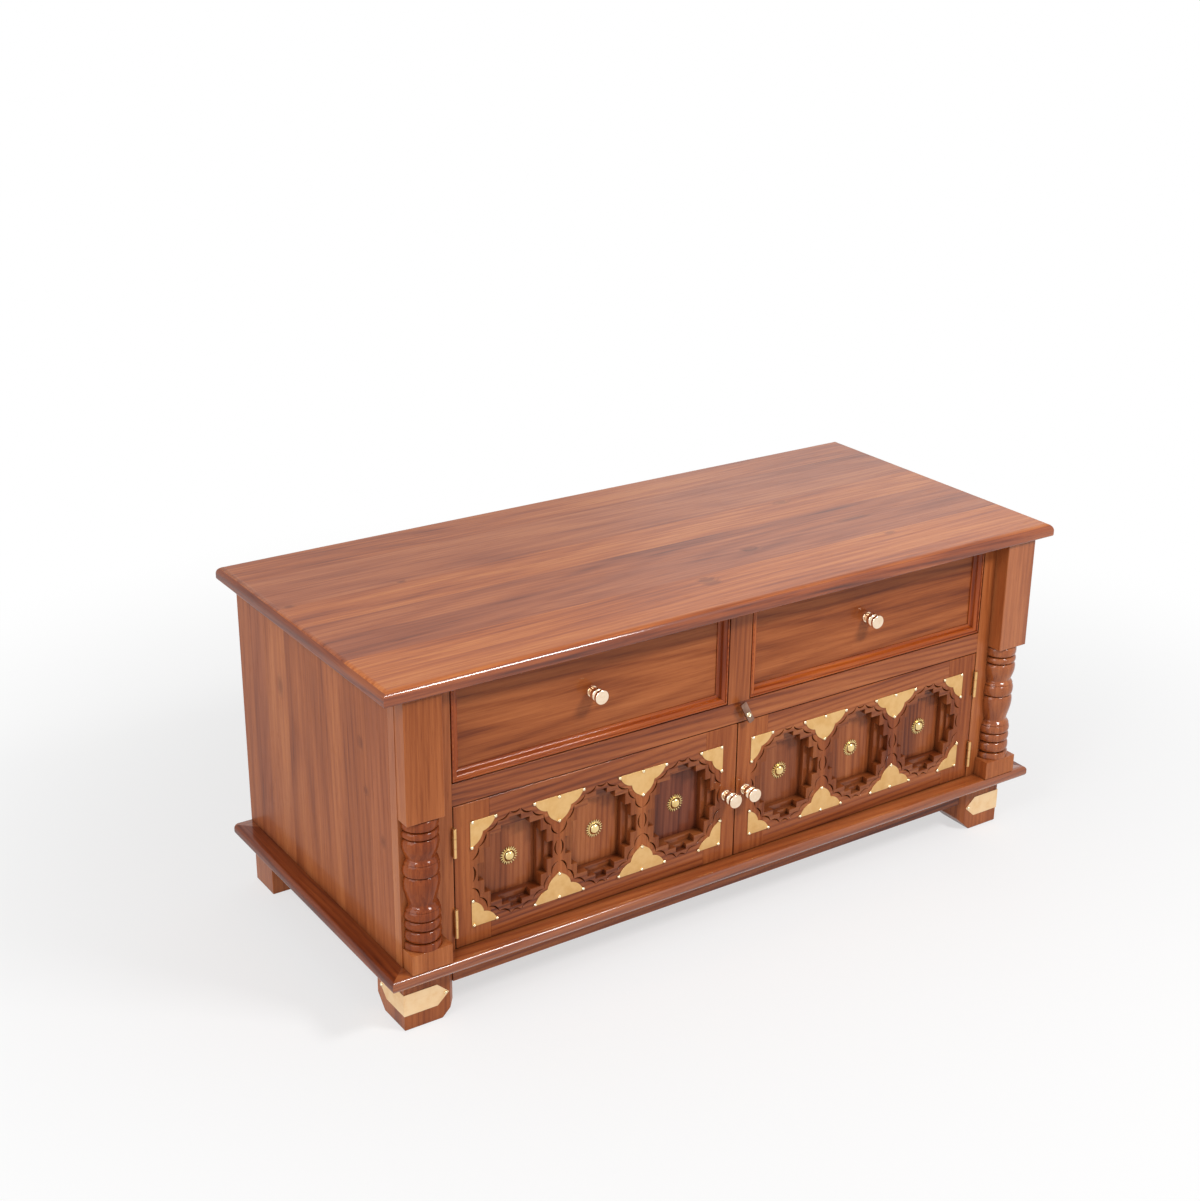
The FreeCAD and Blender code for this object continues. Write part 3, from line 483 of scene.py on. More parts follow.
    def tone_value(self, graph: Graph, streak: Value, line: Value, mottle: Value, ring: Value,
                   fibre: Value) -> Socket:
        """Place on the colour ramp, each noise with its weight.

        Args:
            graph: Material being made.
            streak: Broad streaks.
            line: Narrow lines.
            mottle: Broad clouds.
            ring: Growth rings.
            fibre: Fine fibres.

        Returns:
            Place on the ramp.
        """
        weight = self.STREAK_TONE * self.streaks
        value = graph.scaled(streak, weight, 0.5 - 0.5 * weight)
        value = graph.math("ADD", value, graph.scaled(mottle, self.MOTTLE_TONE, -0.5 * self.MOTTLE_TONE))
        value = graph.math("ADD", value, graph.scaled(line, self.lines, -0.5 * self.lines))
        value = graph.math("SUBTRACT", value, graph.scaled(ring, self.RING_TONE * self.rings))
        return graph.math("ADD", value, graph.scaled(fibre, self.FIBRE_TONE, self.FIBRE_OFFSET))

    def ring_share(self, graph: Graph, along: Value, across: Value, through: Value, streak: Value) -> Socket:
        """Darkness of the growth rings around a pith beside the board.

        Args:
            graph: Material being made.
            along: Place along the grain.
            across: Place across the grain.
            through: Place through the board.
            streak: Streak noise that ruffles the rings.

        Returns:
            Ring darkness from 0 to 1.
        """
        flat = graph.math("POWER", graph.math("SUBTRACT", across, self.pith[0]), 2.0)
        deep = graph.math("POWER", graph.math("SUBTRACT", through, self.pith[1]), 2.0)
        reach = graph.math("SQRT", graph.math("ADD", flat, deep))
        reach = graph.math("ADD", reach, graph.scaled(along, self.RING_LEAN))
        turns = graph.math("ADD", graph.scaled(reach, 1.0 / self.ring_pitch),
                           graph.scaled(streak, self.RING_RUFFLE))
        wave = graph.math("SINE", graph.scaled(turns, 2.0 * math.pi))
        return graph.math("POWER", graph.scaled(wave, 0.5, 0.5), 2.0)

    def board_tone(self, graph: Graph, place: Value) -> Socket:
        """Number of the board that a place lies in, between 0 and 1.

        Args:
            graph: Material being made.
            place: Place across the boards.

        Returns:
            Board number.
        """
        share = graph.scaled(place, 1.0 / self.BOARD_SPAN, 0.5)
        stops = [(start / self.BOARD_SPAN + 0.5, (tone, tone, tone)) for start, tone in self.boards]
        stops[0] = (0.0, stops[0][1])
        return graph.split(graph.ramp(share, stops, "CONSTANT"))[0]

    def seam_share(self, graph: Graph, place: Value) -> Value:
        """Darkness of the glue lines between the boards.

        Args:
            graph: Material being made.
            place: Place across the boards.

        Returns:
            Line darkness from 0 to 1.
        """
        line: Value = 0.0
        for start, _ in self.boards[1:]:
            gap = graph.math("ABSOLUTE", graph.math("SUBTRACT", place, start))
            line = graph.math("MAXIMUM", line, graph.levels(gap, *self.SEAM_EDGES, self.SEAM_DARK, 0.0))
        return line

    def carving_share(self, graph: Graph, axes: Sequence[Value]) -> Socket:
        """Darkness of the stain that lies in the carved border round the niches.

        Args:
            graph: Material being made.
            axes: The three parts of the place.

        Returns:
            Darkness from 0 to 1.
        """
        away = graph.math("ABSOLUTE", graph.math("SUBTRACT", graph.math("ABSOLUTE", axes[0]), DOOR_MIDDLE))
        away = graph.math("MINIMUM", away, graph.math("ABSOLUTE", graph.math("SUBTRACT", away, NICHE_PITCH)))
        rise = graph.math("SUBTRACT", axes[2], NICHE_Z)
        wide, tall = self.CARVING_HALF
        reach = graph.length(graph.vector(graph.scaled(away, 1.0 / wide), graph.scaled(rise, 1.0 / tall), 0.0))
        return graph.levels(reach, *self.CARVING_EDGES, self.carving, 0.0)

    def knot_share(self, graph: Graph, axes: Sequence[Value]) -> Value:
        """Darkness of the knots.

        Args:
            graph: Material being made.
            axes: The three parts of the place.

        Returns:
            Knot darkness from 0 to 1.
        """
        share: Value = 0.0
        for knot in self.knots:
            parts = []
            for axis in Axis:
                away = graph.math("SUBTRACT", axes[axis.value], knot.place[axis.value])
                parts.append(graph.scaled(away, 1.0 / (knot.stretch if axis is self.grain else 1.0)))
            core, rim = (edge * knot.radius for edge in self.KNOT_EDGES)
            dark = graph.levels(graph.length(graph.vector(*parts)), core, rim, 1.0, 0.0)
            share = graph.math("MAXIMUM", share, dark)
        return share


@dataclass(frozen=True)
class MetalFinish:
    """Metal with tone clouds, fine scratches and rubbed spots."""

    name: str
    bright: Colour
    dull: Colour
    roughness: float
    clouds: float = 60.0
    scratches: float = 0.10
    dents: float = 0.10
    # Strength of the painted shade in hollows.
    tarnish: float = 0.25

    CLOUD_LAYERS: ClassVar[Point] = (4.0, 0.6)
    CLOUD_EDGES: ClassVar[Point] = (0.35, 0.75)
    CLOUD_ROUGH: ClassVar[float] = 0.18
    SCRATCH_LAYERS: ClassVar[Point] = (3.0, 0.7)
    SCRATCH_FREQUENCY: ClassVar[tuple[float, ...]] = (160.0, 900.0, 1500.0)
    SCRATCH_HEIGHT: ClassVar[float] = 0.15
    WAVE_FREQUENCY: ClassVar[float] = 95.0
    # Reach and edges of the painted shade in hollows.
    CAVITY_REACH: ClassVar[float] = 6.0 * MM
    CAVITY_EDGES: ClassVar[Point] = (0.1, 0.8)
    TARNISH: ClassVar[Colour] = srgb(72, 44, 22)
    DENT_REACH: ClassVar[float] = 1.2 * MM

    def build(self) -> Material:
        """Make the material.

        Returns:
            The finished material.
        """
        graph = SurfaceGraph(self.name)
        place = graph.place()
        drawn = (graph.scaled(part, often) for part, often in zip(graph.split(place), self.SCRATCH_FREQUENCY))
        cloud = graph.noise(place, *self.CLOUD_LAYERS, self.clouds)
        scratch = graph.noise(graph.vector(*drawn), *self.SCRATCH_LAYERS)
        colour = graph.mix(graph.levels(cloud, *self.CLOUD_EDGES), self.bright, self.dull)
        # Painted shade: the metal darkens towards a brown tone in its hollows, where shade falls.
        shade = graph.levels(graph.recess(self.CAVITY_REACH), *self.CAVITY_EDGES, self.tarnish, 0.0)
        colour = graph.mix(shade, colour, self.TARNISH)
        rough = graph.math("ADD", graph.scaled(cloud, self.CLOUD_ROUGH, self.roughness - 0.5 * self.CLOUD_ROUGH),
                           graph.scaled(scratch, self.scratches, -0.5 * self.scratches))
        graph.dress(Base_Color=colour, Metallic=1.0, Roughness=rough, Specular_IOR_Level=0.5)
        waves = graph.noise(place, scale=self.WAVE_FREQUENCY)
        height = graph.math("ADD", graph.scaled(scratch, self.SCRATCH_HEIGHT), waves)
        graph.bump(height, self.dents, self.DENT_REACH)
        return graph.material


class Finishes:
    """All finishes of the chest, each made once."""

    TOP_Z: ClassVar[float] = 518.0 * MM
    SIDE_X: ClassVar[float] = -546.0 * MM
    LEVEL_PITH: ClassVar[Point] = (-0.31, 0.19)

    def __init__(self) -> None:
        """Make every material."""
        self.make_top_and_sides()
        self.make_frame()
        self.make_fronts()
        self.make_metals()

    def make_top_and_sides(self) -> None:
        """Make the boards of the top and of the two sides."""
        seams = ((-0.30, 0.10), (-0.147, 0.62), (-0.076, 0.47), (-0.020, 0.20), (0.0595, 0.55), (0.174, 0.29))
        top_knots = tuple(Knot((x, y, self.TOP_Z), *rest) for x, y, *rest in (
            (0.285, 0.045, 0.008), (0.112, -0.098, 0.010), (-0.38, 0.062, 0.005), (-0.552, 0.062, 0.006),
            (0.33, -0.072, 0.006, 6.0), (0.335, -0.152, 0.005), (-0.015, -0.165, 0.016, 0.9)))
        side_boards = ((-0.30, 0.30), (-0.149, 0.12), (0.095, 0.20), (0.167, 0.45), (0.213, 0.30))
        side_knots = tuple(Knot((self.SIDE_X, y, z), *rest) for y, z, *rest in (
            (0.119, 0.377, 0.009), (-0.128, 0.392, 0.008, 1.3), (-0.183, 0.271, 0.007, 1.2),
            (-0.14, 0.326, 0.007, 1.0)))
        lid = WoodFinish("top_boards", Axis.X, AMBER, PLUM, Axis.Y, seams, top_knots, coat=0.28, specular=0.12,
                         shine=0.30, streaks=0.85, lines=0.95, rings=0.4, bump=0.10)
        self.top = lid.build()
        self.top_front = replace(lid, name="top_front_edge", palette=CHESTNUT, second=CHESTNUT, coat=1.0,
                                 shine=0.08, bump=0.03).build()
        self.top_end = WoodFinish("top_end_edge", Axis.Y, RUSSET, shift=0.9, coat=0.35, bump=0.04).build()
        self.sides = WoodFinish("side_boards", Axis.Z, HONEY, PLUM, Axis.Y, side_boards, side_knots,
                                pith=(-0.72, 0.06), rings=0.4, coat=0.10, specular=0.10, cavity=0.8).build()

    def make_frame(self) -> None:
        """Make the stiles, rails, base, posts and feet."""
        self.upright = WoodFinish("upright_grain", Axis.Z, HONEY, shift=3.1, rings=0.35).build()
        self.level = WoodFinish("level_grain", Axis.X, WARM, shift=1.7, pith=self.LEVEL_PITH, rings=0.8,
                                coat=0.35).build()
        self.base = WoodFinish("base_front_grain", Axis.X, WARM, shift=2.3, coat=1.0, bump=0.03,
                               pith=self.LEVEL_PITH).build()
        self.base_end = WoodFinish("base_end_grain", Axis.Y, RUSSET, shift=5.6, coat=0.4, bump=0.04,
                                   streaks=1.6, specular=0.10).build()
        block = WoodFinish("post_block_grain", Axis.Z, HONEY, shift=7.1, rings=0.2, coat=0.12)
        self.block = block.build()
        # Lit copy for the right post: a glossier coat for the haze of light that falls on it.
        self.pale_block = replace(block, name="pale_block_grain", coat=0.7, shine=0.25).build()
        turned = WoodFinish("turned_grain", Axis.Z, CHESTNUT, shift=4.4, coat=0.45, shine=0.10, roughness=0.42,
                            specular=0.0, cavity=0.9, rings=0.2, streaks=0.7, bump=0.02)
        self.turned = turned.build()
        # Lit copy for the right column: a paler stain, which is painted light for the haze on it, and a glossier
        # coat.
        self.pale_turned = replace(turned, name="pale_turned_grain", palette=HONEY, coat=0.9,
                                   shine=0.14).build()
        self.foot = WoodFinish("foot_grain", Axis.Z, HONEY, shift=1.1, cavity=0.35, rings=0.35).build()

    def make_fronts(self) -> None:
        """Make the drawers, the doors and the raw wood inside."""
        moulding = WoodFinish("glossy_upright_grain", Axis.Z, EMBER, shift=3.9, coat=0.5, bump=0.02,
                              specular=0.04, cavity=0.75)
        self.glossy_upright = moulding.build()
        self.glossy_level = replace(moulding, name="glossy_level_grain", grain=Axis.X, shift=2.3,
                                    pith=self.LEVEL_PITH).build()
        self.panel = WoodFinish("drawer_panel_grain", Axis.X, HONEY, shift=6.3, pith=(-0.262, 0.41),
                                ring_pitch=0.011, rings=0.6, streaks=0.6, coat=0.2, specular=0.14).build()
        self.carved = WoodFinish("carved_grain", Axis.Z, WARM, shift=5.2, cavity=0.8, rings=0.35,
                                 specular=0.14, carving=0.30).build()
        self.rails = WoodFinish("door_rail_grain", Axis.X, WARM, shift=8.8, pith=(-0.25, 0.34), rings=0.8,
                                cavity=0.8, coat=0.4, specular=0.14, carving=0.30).build()
        niches = ((-0.70, 0.25), (-0.30, 0.10), (-0.16, 0.60), (0.0, 0.28), (0.16, 0.09), (0.30, 0.15))
        self.niche = WoodFinish("niche_panel_grain", Axis.Z, HONEY, WINE, Axis.X, niches, shift=2.6,
                                cavity=0.6).build()
        raw = WoodFinish("inside_grain", Axis.X, RAW, shift=7.5, coat=0.05, roughness=0.55, cavity=0.3)
        self.inside = raw.build()
        self.runner = replace(raw, name="runner_grain", grain=Axis.Y, shift=0.6).build()

    def make_metals(self) -> None:
        """Make the brass and the steel."""
        self.sheet = MetalFinish("brass_sheet", srgb(232, 190, 130), srgb(222, 176, 112), 0.45).build()
        # Foot caps: a paler brass, a painted reflection of the bright floor that they face.
        self.foot_sheet = MetalFinish("foot_cap_brass", srgb(248, 216, 172), srgb(240, 202, 152), 0.5).build()
        self.nail = MetalFinish("bright_nail", srgb(244, 230, 196), srgb(234, 212, 168), 0.16).build()
        self.knob = MetalFinish("champagne_brass", srgb(248, 226, 200), srgb(238, 210, 178), 0.13, dents=0.02,
                                tarnish=0.1).build()
        self.dome = MetalFinish("rosette_brass", srgb(238, 212, 152), srgb(220, 184, 116), 0.2,
                                tarnish=0.45).build()
        self.steel = MetalFinish("worn_steel", srgb(166, 130, 112), srgb(118, 88, 75), 0.40, scratches=0.25,
                                 tarnish=0.4).build()


class Bench:
    """Modelling steps that the sub-assemblies share."""

    NODE_MERGE: ClassVar[float] = 0.002 * MM
    TURN_MERGE: ClassVar[float] = 0.004 * MM
    FLAT_LIMIT: ClassVar[float] = 0.4
    SHARP_LIMIT: ClassVar[float] = 35.0
    FACE_WEIGHT: ClassVar[int] = 100

    @staticmethod
    def clear() -> None:
        """Leave edit mode with nothing selected."""
        if bpy.context.mode != "OBJECT":
            bpy.ops.object.mode_set(mode="OBJECT")
        bpy.ops.object.select_all(action="DESELECT")

    @staticmethod
    def pick(*pieces: Piece) -> None:
        """Select only these objects, the last one active.

        Args:
            *pieces: Objects to select.
        """
        Bench.clear()
        for piece in pieces:
            piece.select_set(True)
            bpy.context.view_layer.objects.active = piece

    @staticmethod
    def edit(piece: Piece) -> None:
        """Enter edit mode on one object with nothing selected in it.

        Args:
            piece: Object to edit.
        """
        Bench.pick(piece)
        bpy.ops.object.mode_set(mode="EDIT")
        bpy.ops.mesh.select_all(action="DESELECT")

    @staticmethod
    def take_all() -> None:
        """Select the whole mesh in edit mode."""
        bpy.ops.mesh.select_all(action="SELECT")

    @staticmethod
    def face_outward() -> None:
        """Turn all faces of the edited mesh outwards."""
        Bench.take_all()
        bpy.ops.mesh.normals_make_consistent(inside=False)

    @staticmethod
    def rename(piece: Piece, name: str) -> Piece:
        """Name a piece and its mesh."""
        piece.name = piece.data.name = name
        return piece

    @staticmethod
    def start(name: str) -> Piece:
        """Name the primitive that was just added and put its place into its mesh."""
        bpy.ops.object.transform_apply(location=True, rotation=True, scale=True)
        return Bench.rename(bpy.context.active_object, name)

    @staticmethod
    def choose(piece: Piece, kind: Element, rule: Callable[..., bool]) -> None:
        """Select in edit mode the elements that a rule names.

        Args:
            piece: Piece in edit mode.
            kind: Kind of element.
            rule: Says whether an element is selected.
        """
        bpy.ops.mesh.select_mode(type=kind.name)
        mesh = bmesh.from_edit_mesh(piece.data)
        for element in getattr(mesh, kind.value):
            element.select_set(rule(element))
        mesh.select_flush_mode()
        bmesh.update_edit_mesh(piece.data)

    @staticmethod
    def node_copy(node: str, name: str) -> Piece:
        """Copy a CAD node's mesh into a new piece in edit mode, its triangles merged into faces.

        Args:
            node: Name of the node.
            name: Name of the piece.

        Returns:
            The new piece.
        """
        piece = Bench.rename(bpy.data.objects.new(name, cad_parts[node].data.copy()), name)
        bpy.context.scene.collection.objects.link(piece)
        piece.data.materials.clear()
        Bench.pick(piece)
        bpy.ops.mesh.customdata_custom_splitnormals_clear()
        Bench.edit(piece)
        Bench.take_all()
        bpy.ops.mesh.remove_doubles(threshold=Bench.NODE_MERGE)
        bpy.ops.mesh.dissolve_limited(angle_limit=math.radians(Bench.FLAT_LIMIT))
        return piece

    @staticmethod
    def ease(piece: Piece, width: float, segments: int = 2) -> None:
        """Round the sharp edges of a piece a little.

        Args:
            piece: Piece to ease.
            width: Width of the rounding.
            segments: Faces across the rounding.
        """
        Bench.edit(piece)
        bpy.ops.mesh.select_mode(type="EDGE")
        bpy.ops.mesh.edges_select_sharp(sharpness=math.radians(Bench.SHARP_LIMIT))
        bpy.ops.mesh.bevel(offset=width, segments=segments, affect="EDGES", clamp_overlap=True)
        Bench.clear()

    @staticmethod
    def round_edges(piece: Piece, rule: Callable[[bmesh.types.BMEdge], bool], width: float,
                    segments: int = 3) -> None:
        """Round the edges that a rule names.

        Args:
            piece: Piece to round.
            rule: Says whether an edge is rounded.
            width: Width of the rounding.
            segments: Faces across the rounding.
        """
        Bench.edit(piece)
        Bench.choose(piece, Element.EDGE, rule)
        bpy.ops.mesh.bevel(offset=width, segments=segments, affect="EDGES", clamp_overlap=True)
        Bench.clear()

    @staticmethod
    def smooth(piece: Piece, angle: float = SOFT_ANGLE) -> None:
        """Shade a piece smoothly across shallow angles."""
        Bench.pick(piece)
        bpy.ops.object.shade_smooth_by_angle(angle=math.radians(angle))

    @staticmethod
    def flatten(piece: Piece, angle: float = SOFT_ANGLE) -> None:
        """Shade the rounded edges of a piece smoothly and keep its large faces flat.

        Args:
            piece: Piece to shade.
            angle: Largest angle that is shaded smoothly, in degrees.
        """
        Bench.smooth(piece, angle)
        weigh = piece.modifiers.new("flat_faces", "WEIGHTED_NORMAL")
        weigh.weight = Bench.FACE_WEIGHT
        weigh.keep_sharp = True
        bpy.ops.object.modifier_apply(modifier=weigh.name)

    @staticmethod
    def lathe(name: str, profile: Sequence[Vector], centre: Vector, axis: Vector, angle: float,
              steps: int) -> Piece:
        """Turn a drawn profile about an axis and close the side that stays open.

        Args:
            name: Name of the piece.
            profile: Points of the profile.
            centre: Point on the axis.
            axis: Direction of the axis.
            angle: Angle of the turn in radians.
            steps: Number of steps in the turn.

        Returns:
            The turned piece.
        """
        Bench.clear()
        bpy.ops.mesh.primitive_plane_add(size=MM, location=profile[0])
        piece = Bench.start(name)
        Bench.edit(piece)
        bpy.ops.mesh.select_mode(type="VERT")
        Bench.take_all()
        bpy.ops.mesh.merge(type="CENTER")
        for here, there in zip(profile, profile[1:]):
            bpy.ops.mesh.extrude_region_move(TRANSFORM_OT_translate={"value": there - here})
        Bench.take_all()
        bpy.ops.mesh.spin(steps=steps, angle=angle, center=centre, axis=axis)
        Bench.take_all()
        bpy.ops.mesh.remove_doubles(threshold=Bench.TURN_MERGE)
        bpy.ops.mesh.select_non_manifold(extend=False, use_wire=False, use_boundary=True, use_multi_face=False,
                                         use_non_contiguous=False, use_verts=False)
        bpy.ops.mesh.edge_face_add()
        Bench.face_outward()
        Bench.clear()
        return piece

    @staticmethod
    def copy(piece: Piece, matrix: Matrix) -> Piece:
        """Copy of a piece with its own mesh, moved inside that mesh.

        Args:
            piece: Piece to copy.
            matrix: Move from the piece to its copy.

        Returns:
            The copy.
        """
        twin = piece.copy()
        twin.data = piece.data.copy()
        twin.data.transform(matrix)
        bpy.context.scene.collection.objects.link(twin)
        return twin

    @staticmethod
    def join(name: str, pieces: Sequence[Piece]) -> Piece:
        """Join pieces into one named piece.

        Args:
            name: Name of the joined piece.
            pieces: Pieces to join.

        Returns:
            The joined piece.
        """
        Bench.pick(*pieces)
        bpy.ops.object.join()
        return Bench.rename(bpy.context.active_object, name)

    @staticmethod
    def drop(piece: Piece) -> None:
        """Remove a helper piece."""
        bpy.data.objects.remove(piece, do_unlink=True)

    @staticmethod
    def settle(piece: Piece, body: str, slot: Slot, *nodes: str, finish: Material | None = None) -> None:
        """Give a piece its finish and body, and hide the nodes that it stands for.

        Args:
            piece: Finished piece.
            body: Body that it moves with.
            slot: Material slot of the record; not used.
            *nodes: Nodes that it stands for.
            finish: Material, where the piece has one all over.
        """
        if finish is not None:
            piece.data.materials.clear()
            piece.data.materials.append(finish)
        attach(piece, body)
        if nodes:
            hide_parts(*nodes)
        log.info("%s: %d faces on %s", piece.name, len(piece.data.polygons), body)

    @staticmethod
    def eased_board(node: str, finish: Material, body: str, width: float, slot: Slot = Slot.WOOD) -> None:
        """Stand-in for a CAD board with softened edges.

        Args:
            node: Node of the board.
            finish: Material.
            body: Body that it moves with.
            width: Width of the edge rounding.
            slot: Material slot of the record.
        """
        piece = Bench.node_copy(node, f"{node}_eased")
        Bench.ease(piece, width)
        Bench.flatten(piece, EASED_ANGLE)
        Bench.settle(piece, body, slot, node, finish=finish)


def curve(points: Sequence[Point], steps: int = 4) -> list[Point]:
    """Smooth line through points.

    Args:
        points: Points in order.
        steps: Pieces between two points.

    Returns:
        Points of the smooth line.
    """
    line: list[Point] = []
    padded = [points[0], *points, points[-1]]
    for a, b, c, d in zip(padded, padded[1:], padded[2:], padded[3:]):
        for step in range(steps):
            t = step / steps
            line.append(tuple(0.5 * (2 * q + (r - p) * t + (2 * p - 5 * q + 4 * r - s) * t * t
                                     + (3 * q - p - 3 * r + s) * t ** 3)
                              for p, q, r, s in zip(a, b, c, d)))
    return line + [points[-1]]


def bead(high: float, low: float, edge: float, swell: float, steps: int = 8) -> list[Point]:
    """Points of a round bead, from its upper to its lower edge.

    Args:
        high: Upper height.
        low: Lower height.
        edge: Radius at both edges.
        swell: Largest radius.
        steps: Pieces of the bead.

    Returns:
        Pairs of radius and height.
    """
    points = []
    for step in range(steps + 1):
        turn = math.pi * step / steps
        radius = edge + (swell - edge) * math.sin(turn)
        points.append((radius, high + (low - high) * (1 - math.cos(turn)) / 2))
    return points


@dataclass
class Carcass:
    """Top, base, sides, back, frame and inner boards."""

    finishes: Finishes
    body: str = "cabinet"
    edge: float = 0.35 * MM
    inner_edge: float = 0.5 * MM
    top_round: float = 11.0 * MM
    top_steps: int = 9
    under_round: float = 3.0 * MM
    under_steps: int = 4
    level_normal: float = 0.75
    base_half: float = 575.0 * MM
    base_front: float = -252.5 * MM
    base_back: float = 257.5 * MM

    def build(self) -> None:
        """Ease and dress every board of the carcass."""
        self.top()
        self.base()
        tints = self.finishes
        outer = {"left_side_panel": tints.sides, "right_side_panel": tints.sides, "left_stile": tints.upright,
                 "right_stile": tints.upright, "middle_rail": tints.level, "drawer_mullion": tints.upright,
                 "left_plinth": tints.block, "right_plinth": tints.block}
        inner = {"back_panel": tints.inside, "dust_board": tints.inside, "drawer_guides": tints.runner,
                 "door_stop": tints.inside}
        for node, finish in outer.items():
            Bench.eased_board(node, finish, self.body, self.edge)
        for node, finish in inner.items():
            Bench.eased_board(node, finish, self.body, self.inner_edge)

    def top(self) -> None:
        """Round the edges of the top and dress its satin boards, bright front edge and dark ends."""
        def lies_at(height: float) -> Callable[[bmesh.types.BMEdge], bool]:
            """Rule for the edges at one height."""
            return lambda edge: all(abs(point.co.z - height) < NEAR for point in edge.verts)

        low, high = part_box("top_panel")
        Bench.clear()
        bpy.ops.mesh.primitive_cube_add(size=1.0, location=(low + high) / 2, scale=high - low)
        piece = Bench.start("top_panel_rounded")
        Bench.round_edges(piece, lies_at(high.z), self.top_round, self.top_steps)
        Bench.round_edges(piece, lies_at(low.z), self.under_round, self.under_steps)
        Bench.flatten(piece, MITRED_ANGLE)
        for finish in (self.finishes.top, self.finishes.top_front, self.finishes.top_end):
            piece.data.materials.append(finish)
        for face in piece.data.polygons:
            level = face.normal.z > self.level_normal
            face.material_index = 0 if level else 2 if abs(face.normal.x) > abs(face.normal.y) else 1
        Bench.settle(piece, self.body, Slot.WOOD, "top_panel")

    def base(self) -> None:
        """Cut the mitres of the base slab and turn the grain of its two ends."""
        piece = Bench.node_copy("base_slab", "base_slab_mitred")
        for side in Side:
            for y, back in ((self.base_front, -1), (self.base_back, 1)):
                Bench.take_all()
                bpy.ops.mesh.bisect(plane_co=(side.value * self.base_half, y, 0.0),
                                    plane_no=(1.0, -side.value * back, 0.0))
        Bench.clear()
        Bench.flatten(piece, MITRED_ANGLE)
        piece.data.materials.append(self.finishes.base)
        piece.data.materials.append(self.finishes.base_end)
        for face in piece.data.polygons:
            beside = abs(face.center.x) - self.base_half
            before = max(self.base_front - face.center.y, face.center.y - self.base_back)
            face.material_index = 1 if beside > before else 0
        Bench.settle(piece, self.body, Slot.WOOD, "base_slab")


@dataclass
class Feet:
    """Front and back feet, apron and brass foot caps with their nails."""

    finishes: Finishes
    nail: Piece
    body: str = "cabinet"
    edge: float = 1.2 * MM
    cap_edge: float = 0.2 * MM
    cap_tip: float = 68.0 * MM
    cap_inset: float = 4.5 * MM

    def build(self) -> None:
        """Ease and dress the feet and nail their caps."""
        for side in Side:
            for end in ("front", "back"):
                Bench.eased_board(f"{end}_{side.word}_foot", self.finishes.foot, self.body, self.edge)
            self.cap(side)
        Bench.eased_board("front_apron", self.finishes.level, self.body, self.edge)

    def cap(self, side: Side) -> None:
        """Dress one foot cap and nail its two points.

        Args:
            side: Half of the chest.
        """
        node = f"{side.word}_foot_cap"
        Bench.eased_board(node, self.finishes.foot_sheet, self.body, self.cap_edge, Slot.BRASS)
        low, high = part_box(node)
        mid = (low.z + high.z) / 2
        outer = high.x if side is Side.RIGHT else low.x
        reach = self.cap_tip - self.cap_inset
        sideways = Matrix.Rotation(side.value * math.pi / 2, 4, "Z")
        spots = [Matrix.Translation((outer - side.value * reach, low.y, mid)),
                 Matrix.Translation((outer, low.y + reach, mid)) @ sideways]
        nails = Bench.join(f"{side.word}_foot_cap_nails", [Bench.copy(self.nail, spot) for spot in spots])
        Bench.smooth(nails)
        Bench.settle(nails, self.body, Slot.BRASS, finish=self.finishes.nail)


